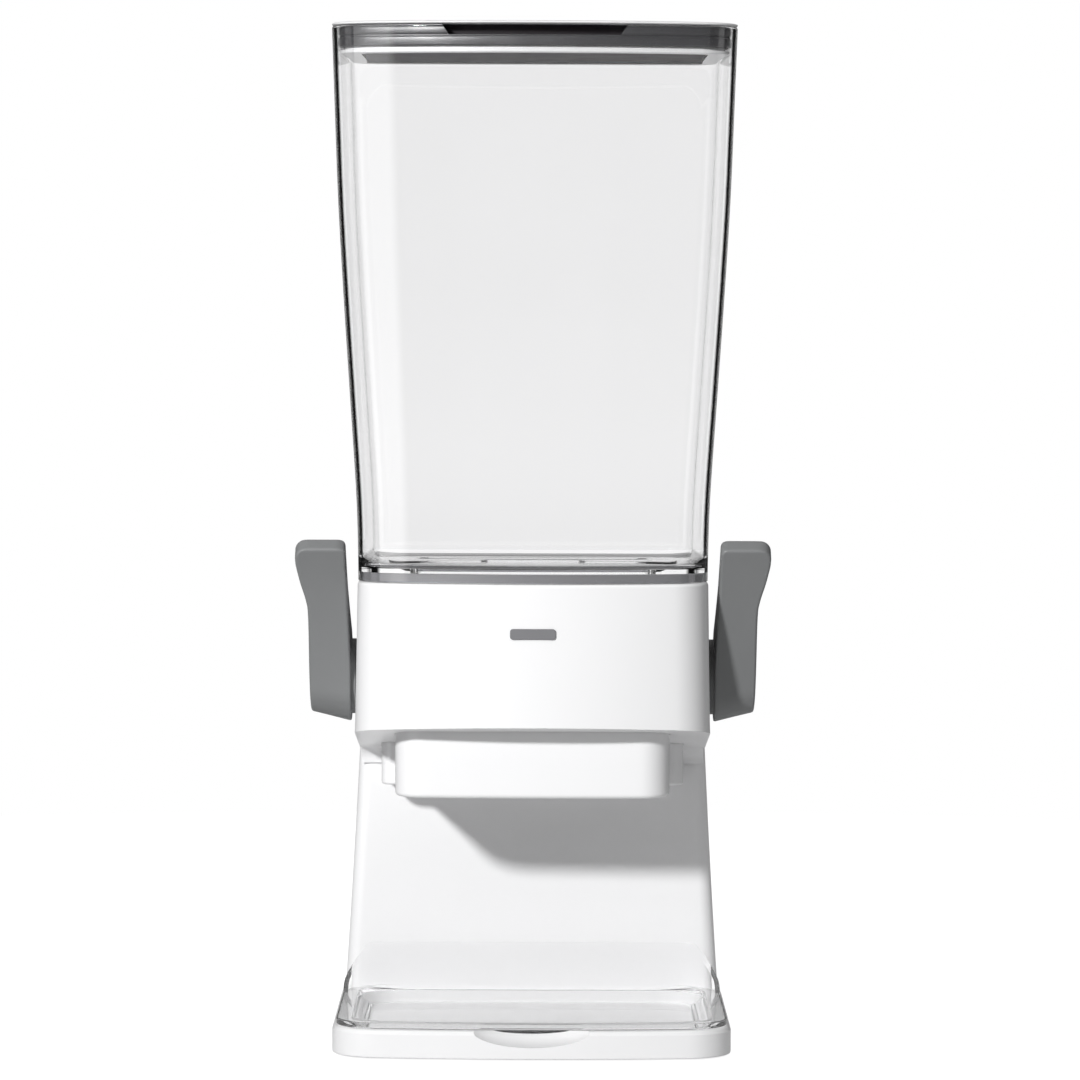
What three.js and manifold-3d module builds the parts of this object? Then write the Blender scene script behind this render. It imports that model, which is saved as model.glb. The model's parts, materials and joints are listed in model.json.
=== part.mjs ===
// Countertop cereal dispenser: a clear hopper on a white C-shaped stand, a paddle wheel turned by a
// lever on either side, a spout over a bowl and a lift-off crumb tray.
// Millimetres, +Z up, front towards -Y. Origin: middle of the footprint, on the surface it stands on.
import * as THREE from "three";
import { mergeVertices } from "three/addons/utils/BufferGeometryUtils.js";
import Module from "manifold-3d";

const wasm = await Module();
wasm.setup();

// ---------------------------------------------------------------- driving dimensions

const GAP = 0.3; // between pieces that touch
const WALL = 3; // stand mouldings
const CLEAR_WALL = 2; // hopper

// An outline seen from above has a bowed front edge between two rounded corners and a straight back.
const BASE = { halfWidth: 96.2, front: -93, back: 93, frontRadius: 600, corner: 24, backCorner: 16 };
const BASE_BOTTOM = 1;
const BASE_TOP = 14.6;

const COLUMN_TOP = 137.5;
const HEAD_TOP = 227;
const HEAD_FRONT = -70;
const UNDERSIDE_FRONT = 158; // the head's underside slopes down from its front edge
const UNDERSIDE_BACK = 138;

const SPOUT = { halfWidth: 66.9, front: -48, back: 44, frontRadius: 900, corner: 15, backCorner: 4 };
const SPOUT_BOTTOM = 122;
const SPOUT_TOP = 166;
const SPOUT_WALL = 2.4;

const AXIS_Y = 4; // the paddle wheel's axis runs along X
const AXIS_Z = 178;
const CHAMBER_RADIUS = 30;
const CHAMBER_HALF = 57;
const PADDLE_RADIUS = 28.6;
const PADDLES = 6;
const SHAFT_RADIUS = 5.1;
const SHAFT_HALF = 104;

const LEVER_LEAN = 34; // degrees forward of upright
const LEVER_LENGTH = 81;
const HUB_RADIUS = 22.3;
const HANDLE_INNER = 89.3; // distance of the handle's inner face from the middle
const HANDLE_OUTER = 109.6;
const TIP_FLARE = 6; // how far the lever's tip leans out past its hub

const SEAT_RING_TOP = HEAD_TOP + GAP + 4.2;
const HOPPER_BOTTOM = SEAT_RING_TOP + GAP;
const HOPPER_TOP = 495.2;
const LID_BOTTOM = 482;
const LID_PLATE = HOPPER_TOP + 0.4;

const OUTLET = { halfX: 56, low: -22, high: 30 }; // the way from the hopper to the paddle wheel

const TRAY = { halfWidth: 94.2, front: -91.8, back: 62.8, frontRadius: 600, corner: 22, backCorner: 24 };
const DISH = { halfWidth: 86, front: -84, back: 60.2, frontRadius: 600, corner: 16, backCorner: 22 };
const TRAY_FLANGE = BASE_TOP + GAP;
const TRAY_RIM = 17.9;
const TRAY_FLOOR = 10.3;
const TRAY_BACK = 39.5;

// ---------------------------------------------------------------- solids and meshes

function solid(geometry) {
  const bare = geometry.clone();
  bare.deleteAttribute("normal");
  bare.deleteAttribute("uv");
  const merged = mergeVertices(bare, 1e-4);
  const mesh = new wasm.Mesh({
    numProp: 3,
    vertProperties: merged.attributes.position.array,
    triVerts: new Uint32Array(merged.index.array),
  });
  return new wasm.Manifold(mesh);
}

function geometryOf(shape) {
  const mesh = shape.getMesh();
  const geometry = new THREE.BufferGeometry();
  geometry.setAttribute("position", new THREE.BufferAttribute(mesh.vertProperties, 3));
  geometry.setIndex(new THREE.BufferAttribute(mesh.triVerts, 1));
  const faceted = geometry.toNonIndexed();
  faceted.computeVertexNormals();
  return faceted;
}

const MATERIALS = {
  white: { color: 0xf4f4f2, roughness: 0.35, metalness: 0 },
  clear: { color: 0xe9eef0, roughness: 0.05, metalness: 0, transparent: true, opacity: 0.35 },
  grip: { color: 0x77787a, roughness: 0.7, metalness: 0 },
  seal: { color: 0x55565a, roughness: 0.6, metalness: 0 },
  ring: { color: 0x9a9a9d, roughness: 0.5, metalness: 0 },
  paddle: { color: 0xb9bbbd, roughness: 0.6, metalness: 0 },
  inner: { color: 0xd9dadb, roughness: 0.4, metalness: 0 },
  smoke: { color: 0x4a4648, roughness: 0.4, metalness: 0 },
  rubber: { color: 0x2b2b2d, roughness: 0.8, metalness: 0 },
  steel: { color: 0xa5a8ab, roughness: 0.3, metalness: 1 },
};

const dispenser = new THREE.Group();

function add(name, shape, material) {
  const mesh = new THREE.Mesh(geometryOf(shape), new THREE.MeshStandardMaterial(MATERIALS[material]));
  mesh.name = name;
  dispenser.add(mesh);
  return mesh;
}

// ---------------------------------------------------------------- outlines

const FRONT_STEPS = 8;
const CORNER_STEPS = 5;
const BACK_STEPS = 4;

function arc(x, y, radius, from, to, steps, skipFirst = false) {
  const points = [];
  for (let i = skipFirst ? 1 : 0; i <= steps; i++) {
    const angle = from + ((to - from) * i) / steps;
    points.push(new THREE.Vector2(x + radius * Math.cos(angle), y + radius * Math.sin(angle)));
  }
  return points;
}

// The bowed outline, moved in by `inset`; always the same number of points, so outlines can be lofted.
function outline(spec, inset = 0) {
  const half = spec.halfWidth - inset;
  const front = spec.front + inset;
  const back = spec.back - inset;
  const corner = Math.max(spec.corner - inset, 1);
  const backCorner = Math.max(spec.backCorner - inset, 1);
  const bow = spec.frontRadius - inset;
  const sweep = Math.asin((half - corner) / (bow - corner));
  const cornerY = front + bow - (bow - corner) * Math.cos(sweep);
  const down = -Math.PI / 2;
  return [
    ...arc(0, front + bow, bow, down - sweep, down + sweep, FRONT_STEPS),
    ...arc(half - corner, cornerY, corner, down + sweep, 0, CORNER_STEPS, true),
    ...arc(half - backCorner, back - backCorner, backCorner, 0, Math.PI / 2, BACK_STEPS),
    ...arc(backCorner - half, back - backCorner, backCorner, Math.PI / 2, Math.PI, BACK_STEPS),
    ...arc(corner - half, cornerY, corner, Math.PI, 1.5 * Math.PI - sweep, CORNER_STEPS).slice(0, -1),
  ];
}

function roundedRectangle(left, right, low, high, radius) {
  return [
    ...arc(left + radius, low + radius, radius, Math.PI, 1.5 * Math.PI, BACK_STEPS),
    ...arc(right - radius, low + radius, radius, 1.5 * Math.PI, 2 * Math.PI, BACK_STEPS),
    ...arc(right - radius, high - radius, radius, 0, Math.PI / 2, BACK_STEPS),
    ...arc(left + radius, high - radius, radius, Math.PI / 2, Math.PI, BACK_STEPS),
  ];
}

// ---------------------------------------------------------------- basic solids

// A closed skin through rings of points at rising heights: rings = [[z, points], ...].
function loft(rings) {
  const count = rings[0][1].length;
  const positions = rings.flatMap(([z, points]) => points.flatMap((p) => [p.x, p.y, z]));
  const index = [];
  for (let ring = 0; ring + 1 < rings.length; ring++) {
    for (let i = 0; i < count; i++) {
      const a = ring * count + i;
      const b = ring * count + ((i + 1) % count);
      index.push(a, b, b + count, a, b + count, a + count);
    }
  }
  const last = (rings.length - 1) * count;
  for (const [a, b, c] of THREE.ShapeUtils.triangulateShape(rings[0][1], [])) index.push(a, c, b);
  for (const [a, b, c] of THREE.ShapeUtils.triangulateShape(rings.at(-1)[1], [])) {
    index.push(last + a, last + b, last + c);
  }
  const geometry = new THREE.BufferGeometry();
  geometry.setAttribute("position", new THREE.Float32BufferAttribute(positions, 3));
  geometry.setIndex(index);
  return solid(geometry);
}

function extruded(points, depth) {
  return new THREE.ExtrudeGeometry(new THREE.Shape(points), { depth, bevelEnabled: false });
}

function prism(points, low, high) {
  return solid(extruded(points, high - low).translate(0, 0, low));
}

const ALONG_X = new THREE.Matrix4().makeBasis(
  new THREE.Vector3(0, 1, 0),
  new THREE.Vector3(0, 0, 1),
  new THREE.Vector3(1, 0, 0),
);
const ALONG_MINUS_Y = new THREE.Matrix4().makeBasis(
  new THREE.Vector3(1, 0, 0),
  new THREE.Vector3(0, 0, 1),
  new THREE.Vector3(0, -1, 0),
);

// A side view (y, z) carried along X, and a front view (x, z) carried along Y.
function sidePrism(points, left, right) {
  return solid(extruded(points, right - left).applyMatrix4(ALONG_X).translate(left, 0, 0));
}

function frontPrism(points, near, far) {
  return solid(extruded(points, far - near).applyMatrix4(ALONG_MINUS_Y).translate(0, far, 0));
}

function box(left, right, near, far, low, high) {
  const geometry = new THREE.BoxGeometry(right - left, far - near, high - low);
  return solid(geometry.translate((left + right) / 2, (near + far) / 2, (low + high) / 2));
}

function rod(radius, from, to, axis, sides = 20, radiusTo = radius) {
  const length = from.distanceTo(to);
  const geometry = new THREE.CylinderGeometry(radiusTo, radius, length, sides);
  const turn = new THREE.Quaternion().setFromUnitVectors(new THREE.Vector3(0, 1, 0), axis);
  const middle = from.clone().add(to).multiplyScalar(0.5);
  return solid(geometry.applyQuaternion(turn).translate(middle.x, middle.y, middle.z));
}

const AXES = { x: new THREE.Vector3(1, 0, 0), y: new THREE.Vector3(0, 1, 0), z: new THREE.Vector3(0, 0, 1) };

const rodX = (radius, left, right, y, z, sides, radiusTo) =>
  rod(radius, new THREE.Vector3(left, y, z), new THREE.Vector3(right, y, z), AXES.x, sides, radiusTo);
const rodY = (radius, near, far, x, z, sides, radiusTo) =>
  rod(radius, new THREE.Vector3(x, near, z), new THREE.Vector3(x, far, z), AXES.y, sides, radiusTo);
const rodZ = (radius, low, high, x, y, sides, radiusTo) =>
  rod(radius, new THREE.Vector3(x, y, low), new THREE.Vector3(x, y, high), AXES.z, sides, radiusTo);

const v2 = (x, y) => new THREE.Vector2(x, y);
const radians = THREE.MathUtils.degToRad;

// ---------------------------------------------------------------- stand: base

const FOOT_X = 76;
const FOOT_Y = 72;
const FOOT_RADIUS = 8;
const PLATE_BOTTOM = 1.3;
const PLATE_TOP = 3.4;
const CAVITY_TOP = 5.3;
const PLATE_INSET = WALL + 0.4;
const PLATE_SCREW = { x: 60, y: 80, headRadius: 2.9, shankRadius: 1.4, tip: 7 };
const COLUMN_SCREW = { x: 40, y: 78, headRadius: 3.4, shankRadius: 1.8, tip: 30, holeRadius: 5 };
const CORNERS = [
  [-1, -1],
  [1, -1],
  [1, 1],
  [-1, 1],
];

// The dish's outside, which hangs in the base's recess.
function dishOutside(clearance) {
  return loft([
    [TRAY_FLOOR - 2.1 - clearance, outline(DISH, 5 - clearance)],
    [TRAY_RIM - 1, outline(DISH, -2 - clearance)],
  ]);
}

function baseShell() {
  const skirt = loft([
    [BASE_BOTTOM, outline(BASE, 0.5)],
    [BASE_BOTTOM + 0.8, outline(BASE)],
    [BASE_TOP - 0.9, outline(BASE, 1.2)],
    [BASE_TOP, outline(BASE, 2)],
  ]);
  const cavity = prism(outline(BASE, WALL), 0, CAVITY_TOP);
  const notch = new THREE.SphereGeometry(1, 28, 14).scale(29.5, 14, 9).translate(0, -95.5, 15.5);
  let shell = skirt.subtract(cavity).subtract(dishOutside(0.5)).subtract(solid(notch));
  for (const [sideX, sideY] of CORNERS) {
    const { x, y, shankRadius, tip } = PLATE_SCREW;
    shell = shell.subtract(rodZ(shankRadius + GAP, 0, tip + 0.4, sideX * x, sideY * y, 12));
  }
  for (const side of [-1, 1]) {
    const { x, y, shankRadius } = COLUMN_SCREW;
    shell = shell.subtract(rodZ(shankRadius + GAP, 0, 20, side * x, y, 12));
  }
  return shell;
}

function basePlate() {
  let plate = prism(outline(BASE, PLATE_INSET), PLATE_BOTTOM, PLATE_TOP);
  for (const [sideX, sideY] of CORNERS) {
    const { x, y, headRadius, shankRadius } = PLATE_SCREW;
    plate = plate
      .subtract(rodZ(FOOT_RADIUS + GAP, 0, 2.2, sideX * FOOT_X, sideY * FOOT_Y, 24))
      .subtract(rodZ(shankRadius + GAP, 0, 9, sideX * x, sideY * y, 12))
      .subtract(rodZ(headRadius + GAP, 0, 2.6, sideX * x, sideY * y, 16));
  }
  for (const side of [-1, 1]) {
    const { x, y, holeRadius } = COLUMN_SCREW;
    plate = plate.subtract(rodZ(holeRadius, 0, 9, side * x, y, 16));
  }
  return plate;
}

// A pan-head screw pointing up from z = low.
function screwUp(x, y, low, headHeight, headRadius, shankRadius, tip) {
  const driver = new THREE.BoxGeometry(0.8, headRadius * 1.2, 1.2).translate(x, y, low);
  return rodZ(headRadius, low, low + headHeight, x, y, 16)
    .add(rodZ(shankRadius, low + headHeight / 2, tip, x, y, 12))
    .subtract(solid(driver));
}

add("base_shell", baseShell(), "white");
add("base_plate", basePlate(), "inner");
CORNERS.forEach(([sideX, sideY], i) => {
  const foot = rodZ(FOOT_RADIUS, 0, 1.9, sideX * FOOT_X, sideY * FOOT_Y, 24, FOOT_RADIUS - 0.5);
  add(`foot_${i + 1}`, foot, "rubber");
  const { x, y, headRadius, shankRadius, tip } = PLATE_SCREW;
  add(`base_screw_${i + 1}`, screwUp(sideX * x, sideY * y, 1.4, 0.9, headRadius, shankRadius, tip), "steel");
});

// ---------------------------------------------------------------- stand: column and head

// Half width, front and back of the stand at a height: it flares into the base.
const COLUMN_STATIONS = [
  [BASE_TOP + GAP, 94.6, 64.6, 91.6],
  [22, 93.9, 64.4, 91.3],
  [38, 92.8, 64, 90.8],
  [69, 90.9, 63.4, 90],
  [104, 88.9, 62.8, 89.2],
  [COLUMN_TOP, 87.2, 62.3, 88.6],
];
const HEAD_BACK = 88;
const BACK_COVER = { halfWidth: 77, low: 24, high: 216, thickness: 2.4 };
const REAR_WINDOW = { halfWidth: 64, low: 28, high: 210 }; // behind the cover, open to the hollow inside
const REAR_LEDGE = 2.5; // extra wall behind the cover's edges

function backAt(z) {
  const i = COLUMN_STATIONS.findIndex(([height]) => height > z);
  if (i < 0) {
    const share = (z - COLUMN_TOP) / (HEAD_TOP - COLUMN_TOP);
    return COLUMN_STATIONS.at(-1)[3] + (HEAD_BACK - COLUMN_STATIONS.at(-1)[3]) * share;
  }
  const [lowZ, , , lowBack] = COLUMN_STATIONS[Math.max(i - 1, 0)];
  const [highZ, , , highBack] = COLUMN_STATIONS[i];
  return lowBack + ((highBack - lowBack) * (z - lowZ)) / (highZ - lowZ);
}

// The rear cover's side view, grown by `clearance`, and carried to its half width.
function backCoverBody(clearance) {
  const heights = [BACK_COVER.low - clearance, 38, 69, 104, COLUMN_TOP, BACK_COVER.high + clearance];
  const outer = heights.map((z) => v2(backAt(z) + clearance, z));
  const inner = heights.map((z) => v2(backAt(z) - BACK_COVER.thickness - clearance, z)).reverse();
  const half = BACK_COVER.halfWidth + clearance;
  return sidePrism([...outer, ...inner], -half, half);
}

function rearWindow() {
  const { halfWidth, low, high } = REAR_WINDOW;
  return box(-halfWidth, halfWidth, COLUMN_STATIONS[0][2] + 4 * WALL, 100, low, high);
}

const columnSpec = ([, halfWidth, front, back]) => ({
  halfWidth,
  front,
  back,
  frontRadius: 3000,
  corner: 7,
  backCorner: 7,
});

const COVER_SCREWS = [
  [-71, 34],
  [71, 34],
  [71, 206],
  [-71, 206],
];
const COVER_SCREW = { headRadius: 3, shankRadius: 1.4, length: 12, bossRadius: 4.6 };

function columnShell() {
  const outside = loft(COLUMN_STATIONS.map((s) => [s[0], outline(columnSpec(s))]));
  const inside = loft(
    COLUMN_STATIONS.map((s, i) => {
      const height = i === 0 ? s[0] + WALL : s[0] + (i === COLUMN_STATIONS.length - 1 ? 1 : 0);
      const spec = columnSpec(s);
      return [height, outline({ ...spec, back: spec.back - REAR_LEDGE }, WALL)];
    }),
  );
  let shell = outside.subtract(inside).subtract(rearWindow());
  for (const [x, z] of COVER_SCREWS.slice(0, 2)) {
    shell = shell.add(rodY(COVER_SCREW.bossRadius, 66, backAt(z) - 3.1, x, z, 16));
  }
  for (const side of [-1, 1]) {
    shell = shell.add(rodZ(5, BASE_TOP + GAP, 32, side * COLUMN_SCREW.x, COLUMN_SCREW.y, 16));
  }
  shell = shell.subtract(backCoverBody(GAP));
  for (const [x, z] of COVER_SCREWS.slice(0, 2)) {
    shell = shell.subtract(rodY(COVER_SCREW.shankRadius + GAP, 74, 95, x, z, 12));
  }
  for (const side of [-1, 1]) {
    const { x, y, shankRadius, tip } = COLUMN_SCREW;
    shell = shell.subtract(rodZ(shankRadius + GAP, 0, tip + 0.5, side * x, y, 12));
  }
  return shell;
}

const headSpec = (z, halfWidth) => ({
  halfWidth,
  front: HEAD_FRONT + (z > UNDERSIDE_FRONT ? 0.6 : 0),
  back: backAt(z),
  frontRadius: 240,
  corner: 24,
  backCorner: 10,
});
const HEAD_STATIONS = [
  [130, 87.3],
  [UNDERSIDE_FRONT, 86.3],
  [HEAD_TOP - 1.4, 85.2],
];

// Everything below the head's underside, raised by `lift`.
function belowUnderside(lift) {
  const slope = (UNDERSIDE_BACK - UNDERSIDE_FRONT) / (COLUMN_STATIONS.at(-1)[2] - HEAD_FRONT);
  const nose = UNDERSIDE_FRONT + slope * (-100 - HEAD_FRONT);
  const heel = COLUMN_STATIONS.at(-1)[2];
  const line = [v2(100, UNDERSIDE_BACK + lift), v2(heel, UNDERSIDE_BACK + lift), v2(-100, nose + lift)];
  return sidePrism([v2(-100, 100), v2(100, 100), ...line], -100, 100);
}

// The fillet in which the underside turns down in front of the column.
const COVE_RADIUS = 11;

function cove() {
  const front = COLUMN_STATIONS.at(-1)[2] - GAP;
  const start = front - COVE_RADIUS;
  const top = UNDERSIDE_BACK + 2;
  const curve = arc(start, top - COVE_RADIUS, COVE_RADIUS, radians(90), radians(10), 6);
  const profile = [v2(start, top + 3), ...curve, v2(front, curve.at(-1).y), v2(front, top + 3)];
  return sidePrism(profile, -HEAD_STATIONS[1][1], HEAD_STATIONS[1][1]);
}

const SPOUT_SHOULDER = { halfWidth: 75.3, front: 24, back: 61.4, frontRadius: 900, corner: 6, backCorner: 4 };

function spoutOutside(low, high, clearance) {
  const nose = prism(outline(SPOUT, -clearance), low, high);
  return nose.add(prism(outline(SPOUT_SHOULDER, -clearance), low, high));
}

const BUSH_RADIUS = 7;

function headHousing() {
  const rings = HEAD_STATIONS.map(([z, half]) => [z, outline(headSpec(z, half))]);
  const top = headSpec(HEAD_TOP, HEAD_STATIONS.at(-1)[1]);
  const inner = (spec) => ({ ...spec, back: spec.back - REAR_LEDGE });
  const outside = loft([...rings, [HEAD_TOP - 0.4, outline(top, 0.4)], [HEAD_TOP, outline(top, 1.4)]]);
  const hollow = loft([
    ...HEAD_STATIONS.slice(0, 2).map(([z, half]) => [z, outline(inner(headSpec(z, half)), WALL)]),
    [HEAD_TOP - WALL, outline(inner(top), WALL)],
  ]);
  let shell = outside.subtract(belowUnderside(0)).add(cove()).subtract(hollow.subtract(belowUnderside(WALL)));
  const wayDown = box(-80, 80, 68, 82.6, 120, 145); // into the column's hollow
  shell = shell.subtract(wayDown).subtract(rearWindow());
  for (const [x, z] of COVER_SCREWS.slice(2)) {
    const boss = rodY(COVER_SCREW.bossRadius, 68, backAt(z) - 3.1, x, z, 16);
    const [left, right] = [x, Math.sign(x) * 83].sort((a, b) => a - b);
    const rib = box(left, right, 70, 82, z - 1.2, z + 1.2);
    shell = shell.add(boss).add(rib);
    shell = shell.subtract(rodY(COVER_SCREW.shankRadius + GAP, 74, 95, x, z, 12));
  }
  const throat = roundedRectangle(-OUTLET.halfX - 3, OUTLET.halfX + 3, OUTLET.low - 3, OUTLET.high + 3, 8);
  return shell
    .subtract(backCoverBody(GAP))
    .subtract(prism(throat, HEAD_TOP - 2 * WALL, HEAD_TOP + 5))
    .subtract(spoutOutside(SPOUT_BOTTOM, SPOUT_TOP, GAP))
    .subtract(rodX(BUSH_RADIUS + GAP, -95, 95, AXIS_Y, AXIS_Z, 24));
}

function rearCover() {
  let cover = backCoverBody(0);
  for (const [x, z] of COVER_SCREWS) {
    const surface = backAt(z);
    cover = cover
      .subtract(rodY(COVER_SCREW.headRadius + GAP, surface - 1.3, surface + 5, x, z, 20))
      .subtract(rodY(COVER_SCREW.shankRadius + GAP, surface - 5, surface + 5, x, z, 12));
  }
  return cover;
}

function coverScrew(x, z) {
  const face = backAt(z) - 0.1;
  const { headRadius, shankRadius, length } = COVER_SCREW;
  const slot = box(x - 0.4, x + 0.4, face - 0.5, face + 1, z - headRadius * 0.6, z + headRadius * 0.6);
  return rodY(headRadius, face - 1, face, x, z, 20)
    .add(rodY(shankRadius, face - length, face - 0.6, x, z, 12))
    .subtract(slot);
}

add("column_shell", columnShell(), "white");
add("head_housing", headHousing(), "white");
add("rear_cover", rearCover(), "white");
COVER_SCREWS.forEach(([x, z], i) => add(`cover_screw_${i + 1}`, coverScrew(x, z), "steel"));
for (const [side, name] of [
  [-1, "left"],
  [1, "right"],
]) {
  const { x, y, headRadius, shankRadius, tip } = COLUMN_SCREW;
  const screw = screwUp(side * x, y, 2.2, 2.8, headRadius, shankRadius, tip);
  add(`column_screw_${name}`, screw, "steel");
}

// ---------------------------------------------------------------- stand: spout, chamber, seat ring

function spout() {
  const passage = loft([
    [SPOUT_BOTTOM - 1, outline(SPOUT, SPOUT_WALL)],
    [SPOUT_TOP + 1, outline(SPOUT, SPOUT_WALL)],
  ]);
  const pocketSpec = { ...SPOUT_SHOULDER, front: SPOUT.back };
  const pocket = prism(outline(pocketSpec, SPOUT_WALL), SPOUT_BOTTOM + SPOUT_WALL, SPOUT_TOP + 1);
  return spoutOutside(SPOUT_BOTTOM, SPOUT_TOP - GAP, 0).subtract(passage).subtract(pocket);
}

// One wall of the paddle wheel's trough in side view: flared feed, arc round the wheel, short chute.
function troughWall(side) {
  const feedEnd = radians(48);
  const chuteStart = radians(140);
  const ring = (radius, from, to) =>
    Array.from({ length: 13 }, (_, i) => {
      const angle = from + ((to - from) * i) / 12;
      return v2(AXIS_Y + side * radius * Math.sin(angle), AXIS_Z + radius * Math.cos(angle));
    });
  const feedTop = HEAD_TOP - WALL - GAP;
  const lip = side > 0 ? OUTLET.high : OUTLET.low;
  const outer = CHAMBER_RADIUS + 2;
  const chuteX = AXIS_Y + side * CHAMBER_RADIUS * Math.sin(chuteStart);
  const points = [
    v2(lip, feedTop),
    ...ring(CHAMBER_RADIUS, feedEnd, chuteStart),
    v2(chuteX, 149),
    v2(chuteX + side * 2, 149),
    ...ring(outer, chuteStart, feedEnd),
    v2(lip + side * 2, feedTop),
  ];
  return side > 0 ? points.reverse() : points;
}

function rotorChamber() {
  const half = CHAMBER_HALF + 2;
  const front = sidePrism(troughWall(-1), -half, half);
  const rear = sidePrism(troughWall(1), -half, half);
  const cheek = [...troughWall(-1).slice(14), v2(OUTLET.low - 2, HEAD_TOP - WALL - GAP)];
  const cheekRear = cheek.map((p) => v2(2 * AXIS_Y - p.x, p.y)).reverse();
  let chamber = front.add(rear);
  for (const side of [-1, 1]) {
    const inner = Math.min(side * CHAMBER_HALF, side * half);
    chamber = chamber.add(sidePrism([...cheek, ...cheekRear], inner, inner + 2));
  }
  const flangeLow = HEAD_TOP - WALL - GAP - 2;
  const ledge = roundedRectangle(-half - 6, half + 6, OUTLET.low - 8, OUTLET.high + 8, 6);
  const feed = roundedRectangle(-CHAMBER_HALF, CHAMBER_HALF, OUTLET.low, OUTLET.high, 1);
  const flange = prism(ledge, flangeLow, flangeLow + 2).subtract(prism(feed, flangeLow - 1, flangeLow + 5));
  return chamber.add(flange).subtract(rodX(BUSH_RADIUS + GAP, -70, 70, AXIS_Y, AXIS_Z, 24));
}

function bush() {
  const profile = [
    [SHAFT_RADIUS + GAP, CHAMBER_HALF + 0.4],
    [BUSH_RADIUS, CHAMBER_HALF + 0.4],
    [BUSH_RADIUS, 80.4],
    [11, 80.4],
    [11, 82],
    [BUSH_RADIUS, 82],
    [BUSH_RADIUS, 85.6],
    [SHAFT_RADIUS + GAP, 85.6],
    [SHAFT_RADIUS + GAP, CHAMBER_HALF + 0.4],
  ];
  const turned = new THREE.LatheGeometry(
    profile.map(([radius, x]) => v2(radius, x)),
    24,
  );
  return solid(turned.rotateZ(-Math.PI / 2).translate(0, AXIS_Y, AXIS_Z));
}

const SEAT_RING_INNER = 7.5; // inset of the ring's inner edge

// The ring that the hopper stands on, inside the hopper's skirt.
function seatRing() {
  const spec = hopperSpec(HOPPER_BOTTOM);
  const ring = prism(outline(spec, CLEAR_WALL + GAP), HEAD_TOP + GAP, SEAT_RING_TOP);
  return ring.subtract(prism(outline(spec, SEAT_RING_INNER), HEAD_TOP, SEAT_RING_TOP + 1));
}

// ---------------------------------------------------------------- hopper and lid

// How far the hopper has opened out from its foot (0) to its rim (1), against height.
const HOPPER_FLARE = new THREE.SplineCurve([
  v2(HOPPER_BOTTOM, 0),
  v2(266, 0.07),
  v2(315, 0.31),
  v2(363, 0.55),
  v2(411, 0.76),
  v2(459, 0.9),
  v2(HOPPER_TOP, 1),
]);
const HOPPER_RINGS = 9;

function hopperSpecAt(flare) {
  return {
    halfWidth: 84.9 + 13.1 * flare,
    front: -68 - 9.5 * flare,
    back: 68 + 7.5 * flare,
    frontRadius: 240 + 30 * flare,
    corner: 24,
    backCorner: 20,
  };
}

function hopperSpec(z) {
  const stations = Array.from({ length: 200 }, (_, i) => HOPPER_FLARE.getPoint(i / 199));
  const above = stations.find((p) => p.x >= z) ?? stations.at(-1);
  return hopperSpecAt(above.y);
}

function hopperRings(inset, fromRing = 0) {
  const rings = [];
  for (let i = fromRing; i <= HOPPER_RINGS; i++) {
    const point = HOPPER_FLARE.getPoint(i / HOPPER_RINGS);
    rings.push([point.x, outline(hopperSpecAt(point.y), inset)]);
  }
  return rings;
}

// A finger scoop cut in the rim under the lid's front edge.
const LID_SCOOP = { topHalf: 46, bottomHalf: 41, low: 490.2 };

function lidScoop(far) {
  const { topHalf, bottomHalf, low } = LID_SCOOP;
  const high = HOPPER_TOP + 2;
  const corners = [v2(-bottomHalf, low), v2(bottomHalf, low), v2(topHalf, high), v2(-topHalf, high)];
  return frontPrism(corners, -90, far);
}

function hopper() {
  const foot = hopperSpec(HOPPER_BOTTOM);
  const floor = HOPPER_BOTTOM + CLEAR_WALL;
  const cove = [
    [0, 5],
    [0.6, 2.6],
    [2.4, 0.8],
    [6, 0],
  ];
  const inside = loft([
    ...cove.map(([rise, extra]) => [floor + rise, outline(foot, CLEAR_WALL + extra)]),
    ...hopperRings(CLEAR_WALL, 2).slice(0, -1),
    [HOPPER_TOP + 1, outline(hopperSpecAt(1), CLEAR_WALL)],
  ]);
  const { halfX, low, high } = OUTLET;
  const mouth = roundedRectangle(-halfX, halfX, low, high, 8);
  const wall = 2.2;
  const spigot = roundedRectangle(-halfX - wall, halfX + wall, low - wall, high + wall, 8);
  const skirt = prism(outline(foot), HEAD_TOP + GAP, HOPPER_BOTTOM + 1);
  const underFloor = prism(outline(foot, CLEAR_WALL), HEAD_TOP, HOPPER_BOTTOM);
  let body = loft(hopperRings(0)).subtract(inside).add(skirt.subtract(underFloor));
  for (const side of [-1, 1]) {
    const lug = roundedRectangle(side * 46 - 24, side * 46 + 24, -50, -36, 6);
    body = body.add(prism(lug, floor - 1, floor + 2.4));
  }
  return body
    .add(prism(spigot, HEAD_TOP - 2.4, floor))
    .subtract(prism(mouth, HEAD_TOP - 5, floor + 20))
    .subtract(lidScoop(-60));
}

function lidPlate() {
  const rim = hopperSpecAt(1);
  return loft([
    [LID_PLATE, outline(rim, 0.7)],
    [LID_PLATE + 0.5, outline(rim)],
    [LID_PLATE + 1, outline(rim, 0.3)],
    [LID_PLATE + 1.7, outline(rim, 4)],
    [LID_PLATE + 2.2, outline(rim, 16)],
  ]);
}

const LID_FRAME_INSET = 6.2;
const LID_FRAME_WIDTH = 8;

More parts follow.
